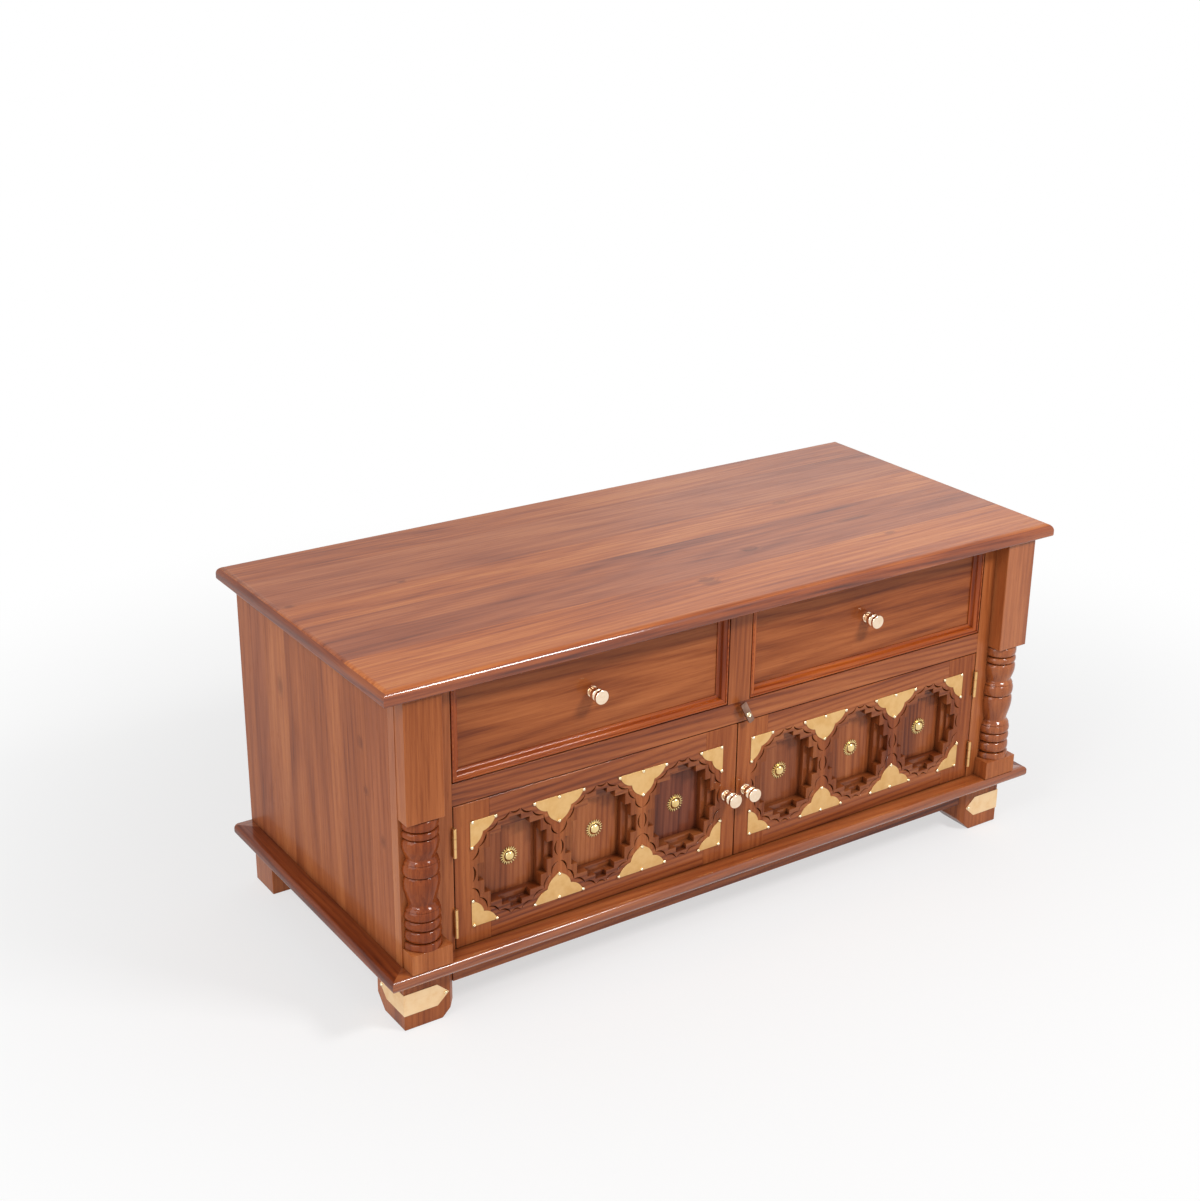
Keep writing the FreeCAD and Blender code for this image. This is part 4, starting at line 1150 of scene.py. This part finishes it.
@dataclass
class TurnedPost:
    """Square block over a split turned column."""

    finishes: Finishes
    side: Side
    body: str = "cabinet"
    axis_x: float = 515.5 * MM
    axis_y: float = -225.0 * MM
    swell: float = 1.045
    block_inner: float = 490.0 * MM
    block_outer: float = 545.4 * MM
    block_front: float = -250.0 * MM
    block_back: float = -222.0 * MM
    block_low: float = 322.0 * MM
    block_high: float = 498.0 * MM
    edge: float = 1.4 * MM
    edge_steps: int = 3
    steps: int = 40
    column_angle: float = 42.0
    block_angle: float = 12.0

    @staticmethod
    def profile() -> list[Point]:
        """Radii and heights of the column in millimetres, from the block down.

        Returns:
            Pairs of radius and height.
        """
        upper = curve([(22.8, 293.4), (24.8, 290.0), (25.2, 285.0), (24.4, 278.0), (22.2, 270.5), (20.4, 265.2),
                       (20.7, 263.2), (22.4, 261.0), (23.7, 258.4)])
        ring = curve([(23.2, 256.6), (24.5, 254.4), (25.3, 249.5), (25.0, 244.0), (23.9, 240.4)])
        lower = curve([(22.8, 238.2), (24.5, 234.0), (25.0, 228.0), (24.2, 219.5), (22.0, 209.5), (19.6, 199.5),
                       (19.1, 195.8), (20.6, 193.4), (22.4, 191.4), (23.7, 189.0)])
        collar = curve([(23.2, 187.2), (24.4, 185.2), (25.1, 181.0), (24.8, 177.8), (23.8, 175.6)])
        return [(22.9, 322.0), *bead(321.4, 306.8, 22.6, 25.0), (20.8, 306.1), *bead(305.4, 294.8, 21.9, 25.2),
                (20.8, 294.1), *upper, (22.8, 257.4), *ring, (20.8, 239.2), *lower, (22.8, 188.0), *collar,
                (20.9, 174.8), *bead(174.0, 160.4, 21.9, 25.2), (20.8, 159.7), *bead(158.9, 142.4, 21.9, 25.3),
                (20.8, 141.6), (24.3, 140.8), (25.3, 139.6), (25.5, 131.0)]

    def build(self) -> None:
        """Turn the column, square the block above it and join them."""
        centre = Vector((self.side.value * self.axis_x, self.axis_y, 0.0))
        points = [centre + Vector((self.swell * radius * MM, 0.0, height * MM))
                  for radius, height in self.profile()]
        points = [Vector((*centre.xy, points[0].z)), *points, Vector((*centre.xy, points[-1].z))]
        column = Bench.lathe(f"{self.side.word}_column", points, centre, Vector((0, 0, 1)), math.pi, self.steps)
        Bench.smooth(column, self.column_angle)
        # The right post takes the lit copies; the paler column stain is painted light.
        pale = self.side is Side.RIGHT
        column.data.materials.append(self.finishes.pale_turned if pale else self.finishes.turned)
        block = self.block()
        block.data.materials.append(self.finishes.pale_block if pale else self.finishes.block)
        post = Bench.join(f"{self.side.word}_post_turned", [column, block])
        Bench.settle(post, self.body, Slot.WOOD, f"{self.side.word}_post")

    def block(self) -> Piece:
        """Square block with softened edges, let a little into the stile.

        Returns:
            The block.
        """
        Bench.clear()
        low = Vector((self.side.value * self.block_inner, self.block_front, self.block_low))
        high = Vector((self.side.value * self.block_outer, self.block_back, self.block_high))
        size = high - low
        bpy.ops.mesh.primitive_cube_add(size=1.0, location=(low + high) / 2, scale=(abs(size.x), size.y, size.z))
        block = Bench.start(f"{self.side.word}_block")
        Bench.ease(block, self.edge, self.edge_steps)
        Bench.smooth(block, self.block_angle)
        return block


@dataclass
class Knob:
    """Turned brass knob with a flange, a waisted neck and a flat-faced head."""

    finishes: Finishes
    name: str
    node: str
    body: str
    place: Vector
    steps: int = 40
    shade_angle: float = 38.0

    @staticmethod
    def profile() -> list[Point]:
        """Radii and distances from the wood in millimetres.

        Returns:
            Pairs of radius and distance.
        """
        flange = [(8.5, 0.0), (8.5, 1.0), (8.0, 1.7), (6.6, 2.0)]
        bulb = curve([(6.6, 2.0), (6.2, 3.6), (7.6, 6.2), (9.8, 10.0), (10.3, 13.0), (9.6, 15.6), (7.8, 17.4),
                      (7.0, 18.4)])
        head = curve([(7.0, 18.4), (7.6, 19.2), (9.6, 20.0), (10.6, 21.4), (10.8, 23.2)])
        face = [(10.6, 24.7), (10.0, 25.5), (9.3, 25.9), (8.4, 26.0), (5.0, 26.0)]
        return [*flange, *bulb[1:], *head[1:], *face]

    def build(self) -> None:
        """Turn the knob about an axis that points to the front."""
        points = [self.place + Vector((radius * MM, -out * MM, 0.0)) for radius, out in self.profile()]
        points.append(Vector((self.place.x, points[-1].y, self.place.z)))
        knob = Bench.lathe(self.name, points, self.place, Vector((0, -1, 0)), 2 * math.pi, self.steps)
        Bench.smooth(knob, self.shade_angle)
        Bench.settle(knob, self.body, Slot.BRASS, self.node, finish=self.finishes.knob)


@dataclass
class Drawer:
    """Drawer with a moulded front, a box behind it and a knob."""

    finishes: Finishes
    side: Side
    middle_x: float = 242.5 * MM
    middle_z: float = 423.25 * MM
    panel_y: float = -214.0 * MM
    half_wide: float = 222.0 * MM
    half_tall: float = 71.75 * MM
    edge: float = 0.5 * MM
    fine_edge: float = 0.4 * MM

    def build(self) -> None:
        """Dress the front, the box and the knob."""
        name = f"{self.side.word}_drawer"
        Bench.eased_board(f"{name}_front", self.finishes.panel, name, self.edge)
        self.moulding(name)
        for part in ("left_side", "right_side"):
            Bench.eased_board(f"{name}_{part}", self.finishes.runner, name, self.edge)
        for part in ("back", "bottom"):
            Bench.eased_board(f"{name}_{part}", self.finishes.inside, name, self.fine_edge)
        place = Vector((self.side.value * self.middle_x, self.panel_y, self.middle_z))
        Knob(self.finishes, f"{name}_knob_turned", f"{name}_knob", name, place).build()

    def moulding(self, name: str) -> None:
        """Dress the mitred moulding with the grain along each of its four lengths.

        Args:
            name: Name of the drawer's body.
        """
        node = f"{name}_moulding"
        piece = Bench.node_copy(node, f"{node}_mitred")
        Bench.smooth(piece, MITRED_ANGLE)
        piece.data.materials.append(self.finishes.glossy_level)
        piece.data.materials.append(self.finishes.glossy_upright)
        centre_x = self.side.value * self.middle_x
        for face in piece.data.polygons:
            beside = abs(face.center.x - centre_x) - self.half_wide
            above = abs(face.center.z - self.middle_z) - self.half_tall
            face.material_index = 1 if beside > above else 0
        Bench.settle(piece, name, Slot.WOOD, node)


@dataclass
class Rosette:
    """Domed brass boss on a washer with pointed rays."""

    rays: int = 20
    washer: float = 9.0 * MM
    tip: float = 14.2 * MM
    thick: float = 1.1 * MM
    dome: float = 8.5 * MM
    rise: float = 6.6 * MM
    rim: float = 9.2 * MM
    rim_wall: float = 0.7 * MM
    rim_rise: float = 1.0 * MM
    rim_round: float = 0.5 * MM
    groove_gap: float = 0.3 * MM
    groove_rise: float = 0.8 * MM
    dome_steps: int = 9
    steps: int = 32

    def build(self) -> Piece:
        """Model one rosette at the origin, facing -Y.

        Returns:
            The rosette.
        """
        return Bench.join("rosette", [self.star(), self.boss()])

    def star(self) -> Piece:
        """Washer with every second point of its rim drawn out to a ray.

        Returns:
            The star.
        """
        Bench.clear()
        bpy.ops.mesh.primitive_circle_add(vertices=2 * self.rays, radius=self.washer, fill_type="NGON",
                                          rotation=(math.pi / 2, 0, 0))
        star = Bench.start("rosette_star")
        Bench.edit(star)
        step = math.pi / self.rays

        def is_tip(point: bmesh.types.BMVert) -> bool:
            """Whether a rim point is every second one."""
            return round(math.atan2(point.co.z, point.co.x) / step) % 2 == 0

        Bench.choose(star, Element.VERT, is_tip)
        grow = self.tip / self.washer
        bpy.ops.transform.resize(value=(grow, 1.0, grow), center_override=(0, 0, 0))
        Bench.take_all()
        bpy.ops.mesh.extrude_region_move(TRANSFORM_OT_translate={"value": (0, -self.thick, 0)})
        Bench.face_outward()
        Bench.clear()
        return star

    def boss(self) -> Piece:
        """Dome inside a low rim.

        Returns:
            The boss.
        """
        base = -self.thick
        turns = [math.pi / 2 * step / self.dome_steps for step in range(1, self.dome_steps)]
        arc = [(self.dome * math.cos(turn), base - self.rise * math.sin(turn)) for turn in turns]
        line = [(self.rim, base), (self.rim, base - self.rim_wall),
                (self.rim - self.rim_round, base - self.rim_rise),
                (self.dome + self.groove_gap, base - self.groove_rise), *arc, (0.0, base - self.rise)]
        points = [Vector((radius, out, 0.0)) for radius, out in line]
        return Bench.lathe("rosette_boss", points, Vector(), Vector((0, -1, 0)), 2 * math.pi, self.steps)


@dataclass
class Nail:
    """Small domed brass nail."""

    radius: float = 2.75 * MM
    rise: float = 2.4 * MM
    segments: int = 14
    rings: int = 10

    def build(self) -> Piece:
        """Model one nail head at the origin, facing -Y.

        Returns:
            The nail head.
        """
        Bench.clear()
        bpy.ops.mesh.primitive_uv_sphere_add(segments=self.segments, ring_count=self.rings, radius=self.radius,
                                             rotation=(math.pi / 2, 0, 0))
        nail = Bench.start("nail")
        Bench.edit(nail)
        Bench.take_all()
        bpy.ops.mesh.bisect(plane_co=(0, 0, 0), plane_no=(0, 1, 0), clear_outer=True, use_fill=True)
        Bench.take_all()
        bpy.ops.transform.resize(value=(1.0, self.rise / self.radius, 1.0), center_override=(0, 0, 0))
        Bench.clear()
        return nail


@dataclass
class GougeCut:
    """Crescent cut of a gouge: an upright vee swept on an arc, deepest in the middle."""

    chord: float = GOUGE_CHORD
    sagitta: float = 4.2 * MM
    depth: float = 2.9 * MM
    tip: float = 0.25 * MM
    clear: float = 5.0 * MM
    outer_half: float = 2.9 * MM
    inner_half: float = 1.7 * MM
    steps: int = 14

    def build(self) -> Piece:
        """Model the cutter at the origin; its chord lies along X and it bulges to -Z.

        Returns:
            The cutter.
        """
        radius = (self.chord ** 2 / 4 + self.sagitta ** 2) / (2 * self.sagitta)
        half = math.asin(self.chord / 2 / radius)
        Bench.clear()
        bpy.ops.mesh.primitive_circle_add(vertices=3, radius=1.0, fill_type="NGON", rotation=(0, math.pi / 2, 0))
        cutter = Bench.start("gouge_cut")
        Bench.edit(cutter)
        corners = ((0.0, self.tip), (self.outer_half, -self.clear), (-self.inner_half, -self.clear))
        mesh = bmesh.from_edit_mesh(cutter.data)
        for point, (side, deep) in zip(mesh.verts, corners):
            point.co = (0.0, deep, -radius + side)
        bmesh.update_edit_mesh(cutter.data)
        Bench.take_all()
        bpy.ops.mesh.spin(steps=self.steps, angle=2 * half, center=(0, 0, 0), axis=(0, 1, 0))
        Bench.take_all()
        bpy.ops.mesh.remove_doubles(threshold=Bench.TURN_MERGE)
        Bench.face_outward()
        Bench.clear()
        cutter.data.transform(Matrix.Rotation(half, 4, "Y"))
        cutter.data.transform(Matrix.Translation((0, 0, radius - self.sagitta)))
        for point in cutter.data.vertices:
            point.co.y += self.depth * max(0.0, 1.0 - (2.0 * point.co.x / self.chord) ** 2)
        return cutter


@dataclass
class Door:
    """Door with carved niches, lobed brass plates, rosettes, hinge leaves and a knob."""

    finishes: Finishes
    side: Side
    nail: Piece
    rosette: Piece
    cut: Piece
    face_y: float = -225.0 * MM
    panel_y: float = -206.0 * MM
    plate_face_y: float = -225.8 * MM
    plate_half: float = 207.5 * MM
    plate_rise: float = 79.75 * MM
    knob_x: float = 17.5 * MM
    knob_z: float = 207.0 * MM
    cut_share: float = 0.98
    top_z: float = 312.0 * MM
    arris: float = 1.8 * MM
    ease: float = 0.45 * MM
    panel_edge: float = 0.4 * MM
    plate_edge: float = 0.22 * MM
    leaf_edge: float = 0.15 * MM

    @property
    def name(self) -> str:
        """Name of the door's body."""
        return f"{self.side.word}_door"

    @property
    def middle(self) -> float:
        """X of the middle of the door."""
        return self.side.value * DOOR_MIDDLE

    def upper_arris(self, edge: bmesh.types.BMEdge) -> bool:
        """Whether an edge is the front arris along the top of the door."""
        return all(point.co.z > self.top_z and abs(point.co.y - self.face_y) < NEAR for point in edge.verts)

    def niches(self) -> list[float]:
        """X of the three niche centres."""
        return [self.middle + step * NICHE_PITCH for step in (-1, 0, 1)]

    def build(self) -> None:
        """Carve and dress the door."""
        self.frame()
        tints = self.finishes
        Bench.eased_board(f"{self.name}_back_panel", tints.niche, self.name, self.panel_edge)
        Bench.eased_board(f"{self.name}_brass_plates", tints.sheet, self.name, self.plate_edge, Slot.BRASS)
        Bench.eased_board(f"{self.name}_hinge_leaves", tints.sheet, self.name, self.leaf_edge, Slot.BRASS)
        self.nails()
        self.rosettes()
        place = Vector((self.side.value * self.knob_x, self.face_y, self.knob_z))
        Knob(tints, f"{self.name}_knob_turned", f"{self.name}_knob", self.name, place).build()

    def frame(self) -> None:
        """Cut the crescents into the stiles, rails and muntins of the frame."""
        cutter = self.cutter()
        members = {"outer_stile": self.finishes.carved, "inner_stile": self.finishes.carved,
                   "top_rail": self.finishes.rails, "bottom_rail": self.finishes.rails,
                   "muntins": self.finishes.carved}
        for part, finish in members.items():
            node = f"{self.name}_{part}"
            piece = Bench.node_copy(node, f"{node}_carved")
            Bench.round_edges(piece, self.upper_arris, self.arris)
            Bench.ease(piece, self.ease)
            carve = piece.modifiers.new("crescents", "BOOLEAN")
            carve.operation = "DIFFERENCE"
            carve.solver = "EXACT"
            carve.use_self = True
            carve.object = cutter
            Bench.pick(piece)
            bpy.ops.object.modifier_apply(modifier=carve.name)
            Bench.flatten(piece)
            Bench.settle(piece, self.name, Slot.WOOD, node, finish=finish)
        Bench.drop(cutter)

    @staticmethod
    def lobes() -> list[tuple[Point, Point]]:
        """Ends of the crescents round one niche, in millimetres from its centre.

        Returns:
            Pairs of end points; each crescent bulges towards the centre.
        """
        cusps = [(8.5, 78.0), (26.5, 69.0), (45.0, 57.7), (57.0, 38.0), (68.0, 21.0)]
        quarter = list(zip(cusps, cusps[1:]))
        ends: list[tuple[Point, Point]] = []
        for flip_x in (1, -1):
            for flip_z in (1, -1):
                ends += [((a[0] * flip_x, a[1] * flip_z), (b[0] * flip_x, b[1] * flip_z)) for a, b in quarter]
        ends += [((-8.0, 78.0), (8.0, 78.0)), ((-8.0, -78.0), (8.0, -78.0))]
        ends += [((66.5, 12.0), (66.5, -12.0)), ((-66.5, 12.0), (-66.5, -12.0))]
        return ends

    def cutter(self) -> Piece:
        """Gouge cuts round all three niches.

        Returns:
            All cuts in one piece.
        """
        cuts = []
        for centre in self.niches():
            for start, end in self.lobes():
                a, b = Vector((start[0], 0.0, start[1])) * MM, Vector((end[0], 0.0, end[1])) * MM
                along = (b - a).normalized()
                inward = Vector((0, 1, 0)).cross(along)
                middle = (a + b) / 2
                if inward.dot(middle) > 0:
                    along, inward = -along, -inward
                basis = Matrix((along, Vector((0, 1, 0)), -inward)).transposed().to_4x4()
                stretch = Matrix.Diagonal((self.cut_share * (b - a).length / GOUGE_CHORD, 1.0, 1.0, 1.0))
                place = Matrix.Translation(middle + Vector((centre, self.face_y, NICHE_Z)))
                cuts.append(Bench.copy(self.cut, place @ basis @ stretch))
        cutter = Bench.join(f"{self.name}_cuts", cuts)
        Bench.edit(cutter)
        Bench.face_outward()
        Bench.clear()
        return cutter

    def nails(self) -> None:
        """Set the domed nails along the brass plates."""
        corner = ((3.2, 1.8), (38.6, 1.8), (1.8, 39.2))
        double = ((-39.2, 2.2), (0.0, 2.2), (39.2, 2.2), (0.0, 38.4))
        spots: list[Point] = []
        for up in (1, -1):
            edge = NICHE_Z + up * self.plate_rise
            for hand in (1, -1):
                outer, gap = self.middle + hand * self.plate_half, self.middle + hand * NICHE_PITCH / 2
                spots += [(outer - hand * x * MM, edge - up * z * MM) for x, z in corner]
                spots += [(gap + x * MM, edge - up * z * MM) for x, z in double]
        heads = [Bench.copy(self.nail, Matrix.Translation((x, self.plate_face_y, z))) for x, z in spots]
        nails = Bench.join(f"{self.name}_nails", heads)
        Bench.smooth(nails)
        Bench.settle(nails, self.name, Slot.BRASS, finish=self.finishes.nail)

    def rosettes(self) -> None:
        """Set a rosette in each niche."""
        copies = [Bench.copy(self.rosette, Matrix.Translation((x, self.panel_y, NICHE_Z)))
                  for x in self.niches()]
        rosettes = Bench.join(f"{self.name}_rosettes_rayed", copies)
        Bench.smooth(rosettes)
        Bench.settle(rosettes, self.name, Slot.BRASS, f"{self.name}_rosettes", finish=self.finishes.dome)


@dataclass
class Hardware:
    """Fixed hinge leaves and the turn button on its screw."""

    finishes: Finishes
    leaf_edge: float = 0.15 * MM
    button_edge: float = 0.5 * MM
    screw_edge: float = 0.25 * MM
    hollow_rim: float = 1.2 * MM
    hollow_depth: float = 1.3 * MM

    def build(self) -> None:
        """Ease and dress the small metal pieces."""
        tints = self.finishes
        Bench.eased_board("hinge_frame_leaves", tints.sheet, "cabinet", self.leaf_edge, Slot.BRASS)
        Bench.eased_board("turn_button", tints.steel, "turn_button", self.button_edge, Slot.STEEL)
        self.screw()

    def screw(self) -> None:
        """Sink the hollow in the head of the button's screw."""
        piece = Bench.node_copy("button_screw", "button_screw_hollow")
        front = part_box("button_screw")[0].y
        Bench.choose(piece, Element.FACE, lambda face: abs(face.calc_center_median().y - front) < NEAR)
        bpy.ops.mesh.inset(thickness=self.hollow_rim, depth=-self.hollow_depth)
        Bench.ease(piece, self.screw_edge)
        Bench.flatten(piece, EASED_ANGLE)
        Bench.settle(piece, "cabinet", Slot.BRASS, "button_screw", finish=self.finishes.nail)


@dataclass(frozen=True)
class Softbox:
    """Rectangular soft lamp: its place, aim, width and height in metres, and power in watts."""

    name: str
    place: Place
    target: Place
    size: Point
    power: float

    def build(self) -> None:
        """Hang the lamp and point it at its target."""
        data = bpy.data.lights.new(self.name, "AREA")
        data.shape = "RECTANGLE"
        data.size, data.size_y = self.size
        data.energy = self.power
        lamp = bpy.data.objects.new(self.name, data)
        lamp.location = self.place
        lamp.rotation_euler = (Vector(self.target) - Vector(self.place)).to_track_quat("-Z", "Y").to_euler()
        bpy.context.scene.collection.objects.link(lamp)


LAMPS = (
    Softbox("key_softbox", (0.75, -1.75, 2.05), (0.0, -0.1, 0.25), (0.65, 0.38), 35.0),
    Softbox("left_softbox", (-1.83, -1.15, 2.04), (-0.3, -0.2, 0.3), (0.55, 0.28), 10.0),
    Softbox("overhead_softbox", (-0.3, 0.5, 2.6), (0.0, 0.0, 0.4), (2.4, 1.6), 4.0),
    Softbox("left_fill", (-2.6, -0.6, 1.5), (0.0, 0.0, 0.3), (1.6, 1.6), 22.0),
    Softbox("back_window", (2.3, 2.1, 1.55), (0.4, 0.0, 0.5), (1.5, 1.0), 4.2),
)


@dataclass
class Studio:
    """Pale floor, soft lamps, white surroundings and the camera, whose angles are in degrees."""

    lens: float = 56.44
    sensor: float = 36.0
    clip_end: float = 50.0
    camera_place: Place = (-1.510897, -2.124233, 1.479976)
    heading: float = 33.8234
    tilt: float = 21.9863
    roll: float = 0.5195
    floor_half: float = 8.0
    floor_drop: float = 0.5 * MM
    floor_tone: float = 0.86
    fade_near: float = 0.6
    fade_far: float = 1.7
    near_white: float = 0.62
    ambient: float = 0.35

    WHITE: ClassVar[tuple[float, ...]] = (1.0, 1.0, 1.0, 1.0)

    def build(self) -> None:
        """Set up floor, world, lamps, camera and view."""
        self.floor()
        self.world()
        for lamp in LAMPS:
            lamp.build()
        self.camera()
        bpy.context.scene.view_settings.view_transform = "Standard"

    def floor(self) -> None:
        """Make the floor, which turns plain white away from the chest."""
        Bench.clear()
        bpy.ops.mesh.primitive_plane_add(size=2 * self.floor_half, location=(0, 0, -self.floor_drop))
        floor = Bench.start("studio_floor")
        graph = SurfaceGraph("studio_floor")
        graph.dress(Base_Color=(*[self.floor_tone] * 3, 1.0), Roughness=0.9, Specular_IOR_Level=0.1)
        reach = graph.length(graph.place())
        share = graph.levels(reach, self.fade_near, self.fade_far, self.near_white, 1.0)
        glow = graph.put("ShaderNodeEmission", {"Color": self.WHITE, "Strength": 1.0})
        graph.surface(graph.math("MULTIPLY", share, graph.backdrop()), graph.shader.outputs[0], glow.outputs[0])
        floor.data.materials.append(graph.material)

    def world(self) -> None:
        """White surroundings for the eye and reflections, softer light for surfaces."""
        world = bpy.data.worlds.new("studio")
        bpy.context.scene.world = world
        world.use_nodes = True
        graph = Graph(world.node_tree, "ShaderNodeOutputWorld")
        soft, white = (graph.put("ShaderNodeBackground", {"Color": self.WHITE, "Strength": strength}).outputs[0]
                       for strength in (self.ambient, 1.0))
        graph.surface(graph.backdrop(), soft, white)

    def camera(self) -> None:
        """Place the camera at the photograph's viewing angle."""
        data = bpy.data.cameras.new("camera")
        data.sensor_fit = "HORIZONTAL"
        data.sensor_width = self.sensor
        data.lens = self.lens
        data.clip_end = self.clip_end
        camera = bpy.data.objects.new("camera", data)
        turn = (Matrix.Rotation(math.radians(-self.heading), 4, "Z")
                @ Matrix.Rotation(math.radians(90.0 - self.tilt), 4, "X")
                @ Matrix.Rotation(math.radians(self.roll), 4, "Z"))
        camera.matrix_world = Matrix.Translation(self.camera_place) @ turn
        bpy.context.scene.collection.objects.link(camera)
        bpy.context.scene.camera = camera


def main() -> None:
    """Build the sub-assemblies in order and report each piece."""
    logging.basicConfig(level=logging.INFO, format="%(message)s")
    finishes = Finishes()
    nail = Nail().build()
    rosette = Rosette().build()
    cut = GougeCut().build()
    Carcass(finishes).build()
    Feet(finishes, nail).build()
    for side in Side:
        TurnedPost(finishes, side).build()
        Drawer(finishes, side).build()
        Door(finishes, side, nail, rosette, cut).build()
    Hardware(finishes).build()
    for helper in (nail, rosette, cut):
        Bench.drop(helper)
    Studio().build()


if __name__ == "__main__":
    main()
